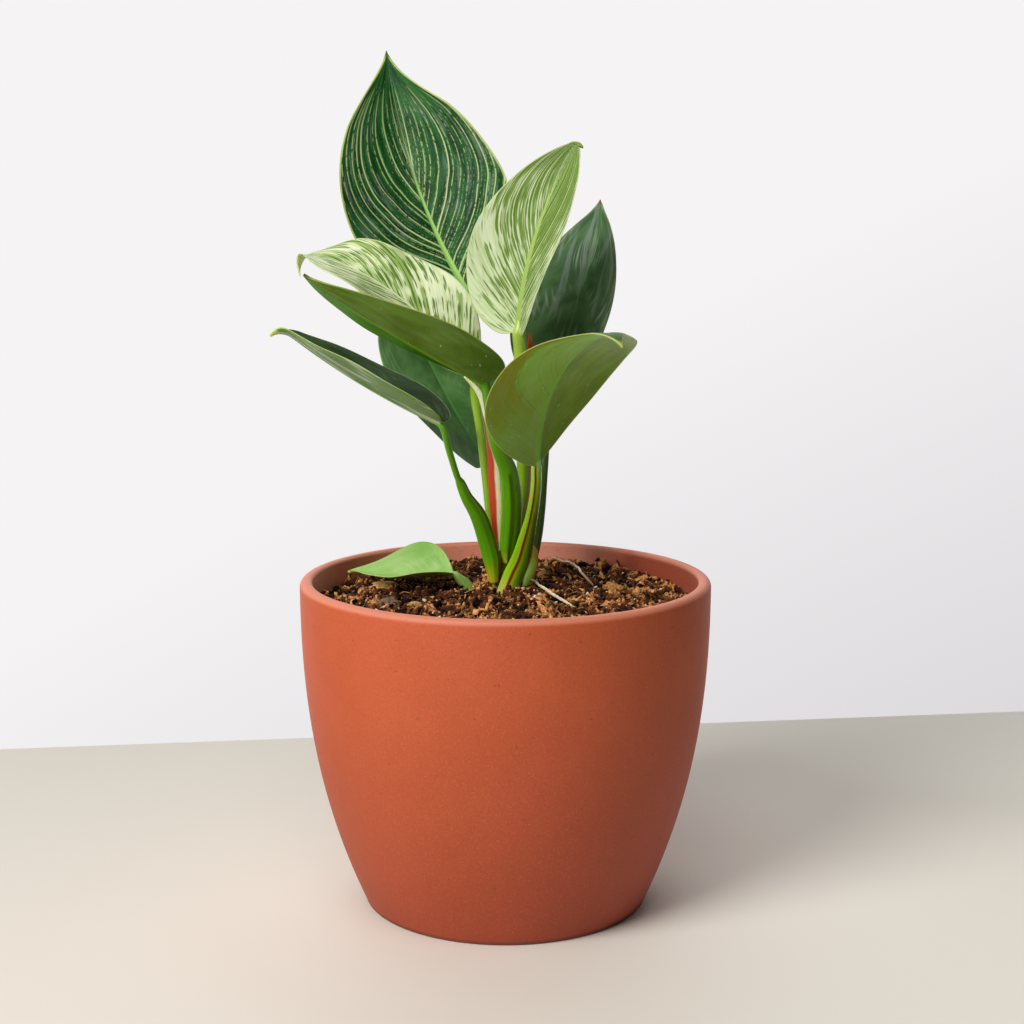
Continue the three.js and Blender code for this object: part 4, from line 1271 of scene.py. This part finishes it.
def grow_sheath(sheath):
    """A thin curled strip: its outer side shows to the front and its edges turn back."""
    curve, wide, deep, share, half_width, half_depth = sweep_line(sheath["points"], STALK_STEP)
    curl = math.radians(SHEATH_CURL)
    angle = np.linspace(-curl, curl, SHEATH_COLUMNS)
    reach = np.sin(angle) / math.sin(curl)
    bulge = 2 * (np.cos(angle) - math.cos(curl)) - 0.5
    thick = SHEATH_THICKNESS * (1 - SHEATH_EDGE_THINNING * reach ** 4)
    outer = swept(curve, wide, deep, -half_width * reach, -half_depth * bulge)
    inner = swept(curve, wide, deep, -half_width * reach, thick - half_depth * bulge)
    rings = np.concatenate([outer, inner[:, ::-1]], axis=1)
    data = np.broadcast_arrays(share, np.concatenate([reach, reach[::-1]]), 0.0)
    ringed_piece(
        f"bract_{sheath['name']}", sheath["name"], rings, sheath_material(sheath["look"]),
        {"stalk": with_hubs(np.stack(data, axis=-1))},
    )


# ---------------------------------------------------------------- pot

def pot_radius(z):
    return POT_RIM_RADIUS - (POT_RIM_RADIUS - POT_FOOT_RADIUS) * (1 - z / POT_HEIGHT) ** POT_FLARE


def arc(centre, radius, start, end, steps):
    """Points of an arc as (r, z), between two angles in degrees."""
    angles = np.radians(np.linspace(start, end, steps))
    return [(centre[0] + radius * math.cos(a), centre[1] + radius * math.sin(a)) for a in angles]


def pot_profile():
    """The pot's outline as (r, z), from the middle of its underside round to its inside floor."""
    foot = pot_radius(FOOT_ROUND) - FOOT_ROUND
    profile = [(r, 0.0) for r in np.linspace(0, foot, 12)]
    profile += arc((foot, FOOT_ROUND), FOOT_ROUND, -70, 0, 5)
    outer_top = POT_HEIGHT - LIP_OUTER_ROUND
    profile += [(pot_radius(z), z) for z in np.linspace(FOOT_ROUND + 1, outer_top, 64)]
    profile += arc((POT_RIM_RADIUS - LIP_OUTER_ROUND, outer_top), LIP_OUTER_ROUND, 8, 90, 9)
    inner = POT_RIM_RADIUS - POT_WALL
    inner_top = POT_HEIGHT - LIP_INNER_ROUND
    profile += arc((inner + LIP_INNER_ROUND, inner_top), LIP_INNER_ROUND, 90, 172, 7)
    profile += [(pot_radius(z) - POT_WALL, z) for z in np.linspace(inner_top, POT_FLOOR, 40)]
    profile += [(r, POT_FLOOR) for r in np.linspace(pot_radius(POT_FLOOR) - POT_WALL - 3, 0, 6)]
    return np.array(profile)


def make_pot():
    """The outline without its two ends on the axis, turned round, and closed there."""
    angle = 2 * np.pi * np.arange(POT_SEGMENTS) / POT_SEGMENTS
    radius, level = pot_profile()[1:-1].T[..., None]
    rings = np.stack(np.broadcast_arrays(radius * np.cos(angle), radius * np.sin(angle), level), axis=-1)
    ringed_piece("clay_pot", "pot", rings, clay_material())


# ---------------------------------------------------------------- potting mix

def mix_level(x, y):
    """The solid's own surface."""
    reach = np.hypot(x, y) / pot_radius(MIX_EDGE_LEVEL)
    back = MIX_BACK_RISE * smooth(y, MIX_BACK_FROM, MIX_BACK_TO)
    broad = np.sin(2 * np.pi * x / BROAD_LUMPS[0] + LUMP_PHASE) * np.cos(2 * np.pi * y / BROAD_LUMPS[1])
    fine = np.sin(2 * np.pi * (x / FINE_LUMPS[0] + y / FINE_LUMPS[1]))
    lumps = MIX_LUMP * (broad + FINE_LUMP_SHARE * fine)
    return MIX_EDGE_LEVEL + MIX_MOUND * (1 - reach ** 2) + back + lumps


def clod_height(x, y):
    """Clods with crevices between them, and ragged crumbs on top, for one point."""
    height = SWELL_RISE * noise.noise(Vector((x / SWELL_SIZE, y / SWELL_SIZE, SWELL_SEED)))
    for size, rise in CLODS:
        ragged = abs(noise.noise(Vector((x / size, y / size, size))))
        height += rise * (ragged - CLOD_LEVEL)
    return height


def bent_square(cells):
    """A square grid of points bent into a round one of radius 1, nearly even."""
    a = np.linspace(-1, 1, cells + 1)
    u, v = np.meshgrid(a, a, indexing="ij")
    flat = np.abs(u) > np.abs(v)
    small, large = np.where(flat, v, u), np.where(flat, u, v)
    turn = np.pi / 4 * small / np.where(large == 0, 1, large)
    x = large * np.where(flat, np.cos(turn), np.sin(turn))
    y = large * np.where(flat, np.sin(turn), np.cos(turn))
    return x, y, np.abs(large)


def make_mix(material):
    """The mix as one closed body: its cloddy surface, its side against the wall, its underside."""
    x, y, radius = bent_square(MIX_CELLS)
    edge = pot_radius(MIX_EDGE_LEVEL + 2) - POT_WALL - MIX_TOP_GAP
    x, y = x * edge, y * edge
    clods = np.array([clod_height(a, b) for a, b in zip(x.ravel(), y.ravel())]).reshape(x.shape)
    fade = smooth(1 - radius, 0, 0.02)
    z = mix_level(x, y) + clods * (0.5 + 0.5 * fade) - MIX_SINK
    top = np.stack([x, y, z], axis=-1).reshape(-1, 3)
    number = np.arange(len(top)).reshape(x.shape)
    faces = list(zip(*(
        corners.ravel() for corners in (number[:-1, :-1], number[1:, :-1], number[1:, 1:], number[:-1, 1:])
    )))
    border = np.array([*number[:-1, 0], *number[-1, :-1], *number[:0:-1, -1], *number[0, :0:-1]])
    rings, points = [border], [top]
    for level in MIX_SIDE_LEVELS:
        scale = (pot_radius(level) - POT_WALL - MIX_SIDE_GAP) / edge
        rings.append(np.arange(len(border)) + sum(map(len, points)))
        points.append(top[border] * [scale, scale, 0] + [0, 0, level])
    for above, below in zip(rings, rings[1:]):
        faces += zip(np.roll(above, -1), above, below, np.roll(below, -1))
    faces.append(rings[-1][::-1])
    points = np.concatenate(points)
    # The tone follows the clods' height: painted shade, darkest in the crevices and on the side against the
    # wall.
    depth = np.concatenate([clods.ravel(), np.full(len(points) - len(top), -1.0)])
    make_piece(
        "mix_surface", "potting_mix", points,
        [tuple(int(corner) for corner in face) for face in faces], material,
        {"tone": np.clip(MIX_TONE[0] + MIX_TONE[1] * depth, 0, MOST_MIX_TONE)},
    )


def icosphere():
    """Points and triangles of a ball of 80 faces."""
    golden = (1 + 5 ** 0.5) / 2
    corners = [
        (-1, golden, 0), (1, golden, 0), (-1, -golden, 0), (1, -golden, 0),
        (0, -1, golden), (0, 1, golden), (0, -1, -golden), (0, 1, -golden),
        (golden, 0, -1), (golden, 0, 1), (-golden, 0, -1), (-golden, 0, 1),
    ]
    triangles = [
        (0, 11, 5), (0, 5, 1), (0, 1, 7), (0, 7, 10), (0, 10, 11), (1, 5, 9), (5, 11, 4),
        (11, 10, 2), (10, 7, 6), (7, 1, 8), (3, 9, 4), (3, 4, 2), (3, 2, 6), (3, 6, 8),
        (3, 8, 9), (4, 9, 5), (2, 4, 11), (6, 2, 10), (8, 6, 7), (9, 8, 1),
    ]
    return refined(unit(np.array(corners, float)), triangles)


def refined(points, triangles):
    """Each triangle split in four, with the new corners pushed out onto the ball."""
    points = list(points)
    middles = {}

    def middle(a, b):
        key = (min(a, b), max(a, b))
        if key not in middles:
            middles[key] = len(points)
            points.append(unit(points[a] + points[b]))
        return middles[key]

    split = []
    for a, b, c in triangles:
        ab, bc, ca = middle(a, b), middle(b, c), middle(c, a)
        split += [(a, ab, ca), (b, bc, ab), (c, ca, bc), (ab, bc, ca)]
    return np.array(points), split


BALL_POINTS, BALL_FACES = icosphere()
FINE_BALL = refined(*refined(BALL_POINTS, BALL_FACES))


def lump(ball, half, rough, pitch, seed):
    """A knobbly, angular lump: a ball with its points pushed in and out, of the given half sizes."""
    push = np.array([
        1 + rough * noise.noise(Vector(p * pitch) + Vector((seed * 3.1, seed * 1.7, seed)))
        + 0.5 * rough * noise.noise(Vector(p * pitch * 2.7) + Vector((seed, 9.0, seed * 2.3)))
        for p in ball
    ])
    return ball * push[:, None] * half


def random_turn(rng, tilt):
    """A turn about the upright by any angle and a tilt of at most the given one, in radians."""
    turn, lean, lean_to = rng.uniform(0, 2 * np.pi), rng.uniform(-tilt, tilt), rng.uniform(0, 2 * np.pi)
    around = np.array([
        [math.cos(turn), -math.sin(turn), 0], [math.sin(turn), math.cos(turn), 0], [0, 0, 1],
    ])
    axis = np.array([math.cos(lean_to), math.sin(lean_to), 0])
    tilted = np.stack([turned(column, axis, lean) for column in np.eye(3)], axis=1)
    return tilted @ around


def spot_on_mix(rng, margin):
    """A random place on the surface, this far in from the wall."""
    edge = pot_radius(MIX_EDGE_LEVEL) - POT_WALL - margin
    radius = edge * math.sqrt(rng.uniform(0, 1))
    angle = rng.uniform(0, 2 * np.pi)
    x, y = radius * math.cos(angle), radius * math.sin(angle)
    return np.array([x, y, float(mix_level(x, y)) + clod_height(x, y) - MIX_SINK])


def loose_piece(name, bodies, body_faces, tones, material):
    """Many bodies of the same build as one piece of the mix, each with its own tone."""
    count = len(bodies[0])
    faces = [
        tuple(corner + count * i for corner in face) for i in range(len(bodies)) for face in body_faces
    ]
    make_piece(
        name, "potting_mix", np.concatenate(bodies), faces, material,
        {"tone": np.repeat(tones, count)}, replaces=False,
    )


def scatter(kind, material, rng):
    """Many lumps in one mesh, each with its own size, turn and tone, sunk a little into the mix."""
    bodies, tones = [], []
    for _ in range(kind["count"]):
        size = blend(rng.uniform(0, 1) ** 2.2, *kind["sizes"])
        long, wide, high = (rng.uniform(*limits) for limits in LUMP_SHAPES)
        half = size * np.array([long, wide, kind["flat"] * high])
        body = lump(BALL_POINTS, half, kind["rough"], LUMP_KNOBS, rng.uniform(0, 50))
        body = body @ random_turn(rng, kind["tilt"]).T
        place = spot_on_mix(rng, 1.2 * half[0] + 0.3)
        place[2] += half[2] * (1 - 2 * kind["sink"])
        bodies.append(body + place)
        tones.append(blend(rng.uniform(0, 1) ** 1.5, *kind["tones"]))
    loose_piece(kind["name"], bodies, BALL_FACES, tones, material)


def fibre(rng):
    """A thin strand that winds its way over the clods, lifted in its middle."""
    length = rng.uniform(*FIBRES["lengths"])
    x, y, _ = spot_on_mix(rng, 4)
    heading, bend = rng.uniform(0, 2 * np.pi), rng.uniform(-2.2, 2.2)
    line = []
    for k in range(FIBRE_STEPS):
        line.append((x, y))
        turn = heading + bend * k / FIBRE_STEPS + 0.5 * math.sin(3.0 * k / FIBRE_STEPS + bend)
        x += math.cos(turn) * length / FIBRE_STEPS
        y += math.sin(turn) * length / FIBRE_STEPS
    line = np.array(line)
    edge = pot_radius(MIX_EDGE_LEVEL) - POT_WALL - 1.5
    line = line / np.maximum(1, np.hypot(*line.T) / edge)[:, None]
    share = np.linspace(0, 1, FIBRE_STEPS)
    lift = rng.uniform(0.2, 2.0) * np.sin(np.pi * share) ** 1.5
    ground = np.array([float(mix_level(a, b)) + clod_height(a, b) for a, b in line])
    ground = np.convolve(np.pad(ground, 1, mode="edge"), [0.25, 0.5, 0.25], mode="valid")
    curve = np.column_stack([line, ground - 0.2 + lift])
    direction = unit(np.gradient(curve, axis=0) + 1e-9)
    across = unit(np.cross(direction, [0, 0, 1.0]) + 1e-9)
    radius = (rng.uniform(*FIBRES["radii"]) * (1 - 0.6 * share))[:, None]
    angle = 2 * np.pi * np.arange(FIBRE_SIDES) / FIBRE_SIDES
    above = np.cross(across, direction)
    return with_hubs(swept(curve, across, above, radius * np.cos(angle), radius * np.sin(angle)))


def make_fibres(material, rng):
    """Thin curved strands of root and bark, lying over the clods."""
    bodies, tones = [], []
    for _ in range(FIBRES["count"]):
        bodies.append(fibre(rng))
        tones.append(rng.uniform(*FIBRES["tones"]))
    loose_piece("mix_fibres", bodies, ring_faces(FIBRE_STEPS, FIBRE_SIDES), tones, material)


def make_bit(bit, material):
    """One of the larger bits that lie on the mix."""
    ball, faces = FINE_BALL
    body = lump(ball, np.array(bit["half"]), BIT_ROUGHNESS, BIT_KNOBS, bit["turn"])
    turn = math.radians(bit["turn"])
    x = body[:, 0] * math.cos(turn) - body[:, 1] * math.sin(turn)
    y = body[:, 0] * math.sin(turn) + body[:, 1] * math.cos(turn)
    body = np.column_stack([x, y, body[:, 2]]) + bit["at"]
    tone = {"tone": np.full(len(body), bit["tone"])}
    make_piece(f"loose_{bit['name']}", bit["name"], body, faces, material, tone)


# ---------------------------------------------------------------- stage

def make_table():
    """A plain table with its back edge in view."""
    left, right = Vector((*TABLE_BACK_LEFT, 0)), Vector((*TABLE_BACK_RIGHT, 0))
    edge = (right - left).normalized()
    front = Vector((edge.y, -edge.x, 0)) * TABLE_REACH
    middle = left + edge * (-left).dot(edge)
    back = [middle - edge * TABLE_REACH, middle + edge * TABLE_REACH]
    points = [tuple(c * MM) for c in (*back, back[1] + front, back[0] + front)]
    points += [(x, y, -TABLE_THICKNESS * MM) for x, y, _ in points]
    faces = [(0, 3, 2, 1), (4, 5, 6, 7), (0, 1, 5, 4), (1, 2, 6, 5), (2, 3, 7, 6), (3, 0, 4, 7)]
    mesh = bpy.data.meshes.new("table")
    mesh.from_pydata(points, [], faces)
    mesh.materials.append(table_material())
    table = bpy.data.objects.new("table", mesh)
    bpy.context.scene.collection.objects.link(table)


def make_light(light):
    lamp = bpy.data.lights.new(light["name"], "AREA")
    lamp.shape = "DISK"
    lamp.size = LIGHT_SIZE * MM
    lamp.energy = light["power"]
    lamp.color = light["colour"]
    place = Vector(light["place"])
    holder = bpy.data.objects.new(light["name"], lamp)
    holder.location = place * MM
    holder.rotation_euler = (place - Vector(LIGHT_AIM)).to_track_quat("Z", "Y").to_euler()
    bpy.context.scene.collection.objects.link(holder)


def make_surround():
    """Soft light from behind the plant, and a pale backdrop that looks the same from every side."""
    world = bpy.data.worlds.new("surround")
    nodes = Nodes(world)
    where = nodes.add("ShaderNodeTexCoord", {}, "Generated")

    def towards(direction):
        """How far each direction of view goes in the given one."""
        inputs = {0: where, 1: direction}
        return nodes.add("ShaderNodeVectorMath", inputs, "Value", operation="DOT_PRODUCT")

    lit = towards(BACK_LIGHT_FROM).step(*BACK_LIGHT_LEVELS)
    pale = towards(BACKDROP_SLOPE).line(*BACKDROP_LEVELS, 0.0, 1.0)
    colour = nodes.mix(
        nodes.add("ShaderNodeLightPath", {}, "Is Camera Ray"),
        nodes.mix(lit, BACK_LIGHT_DARK, BACK_LIGHT_BRIGHT),
        nodes.mix(pale, BACKDROP_DARK, BACKDROP_BRIGHT),
    )
    nodes.add("ShaderNodeOutputWorld", {0: nodes.add("ShaderNodeBackground", {0: colour})}, None)
    bpy.context.scene.world = world


def make_camera():
    lens = bpy.data.cameras.new("camera")
    lens.lens = CAMERA_FOCAL
    lens.sensor_width = SENSOR_WIDTH
    lens.clip_start = 0.01
    lens.clip_end = 50
    camera = bpy.data.objects.new("camera", lens)
    camera.location = Vector(CAMERA_PLACE) * MM
    camera.rotation_euler = (math.radians(90 - CAMERA_PITCH), 0, 0)
    bpy.context.scene.collection.objects.link(camera)
    bpy.context.scene.camera = camera


# ---------------------------------------------------------------- putting it together

make_camera()
make_table()
make_surround()
for light in LIGHTS:
    make_light(light)
bpy.context.scene.view_settings.view_transform = "Standard"

make_pot()
for leaf in LEAVES:
    grow_blade(leaf)
    grow_stalk(leaf)
for sheath in SHEATHS:
    grow_sheath(sheath)
crown_look = stalk_material("crown", STALK_LOOKS["crown"])
tube_piece("stem_crown", "crown", CROWN, crown_look, wobble=CROWN_WOBBLE, seed=CROWN_SEED)
for number, root in enumerate(ROOTS):
    root_look = stalk_material(root["look"], STALK_LOOKS[root["look"]])
    tube_piece(
        f"aerial_{root['name']}", root["name"], root["points"], root_look,
        sides=ROOT_SIDES, step=ROOT_STEP, wobble=ROOT_WOBBLE, seed=number,
    )

rng = np.random.default_rng(SEED)
earths = {name: earth_material(name, *tones) for name, tones in EARTHS.items()}
make_mix(earths["potting_mix"])
for kind in SCATTERS:
    scatter(kind, earths[kind["look"]], rng)
make_fibres(earths["bark"], rng)
for bit in BITS:
    make_bit(bit, earths[SLOTS[bit["name"]]])
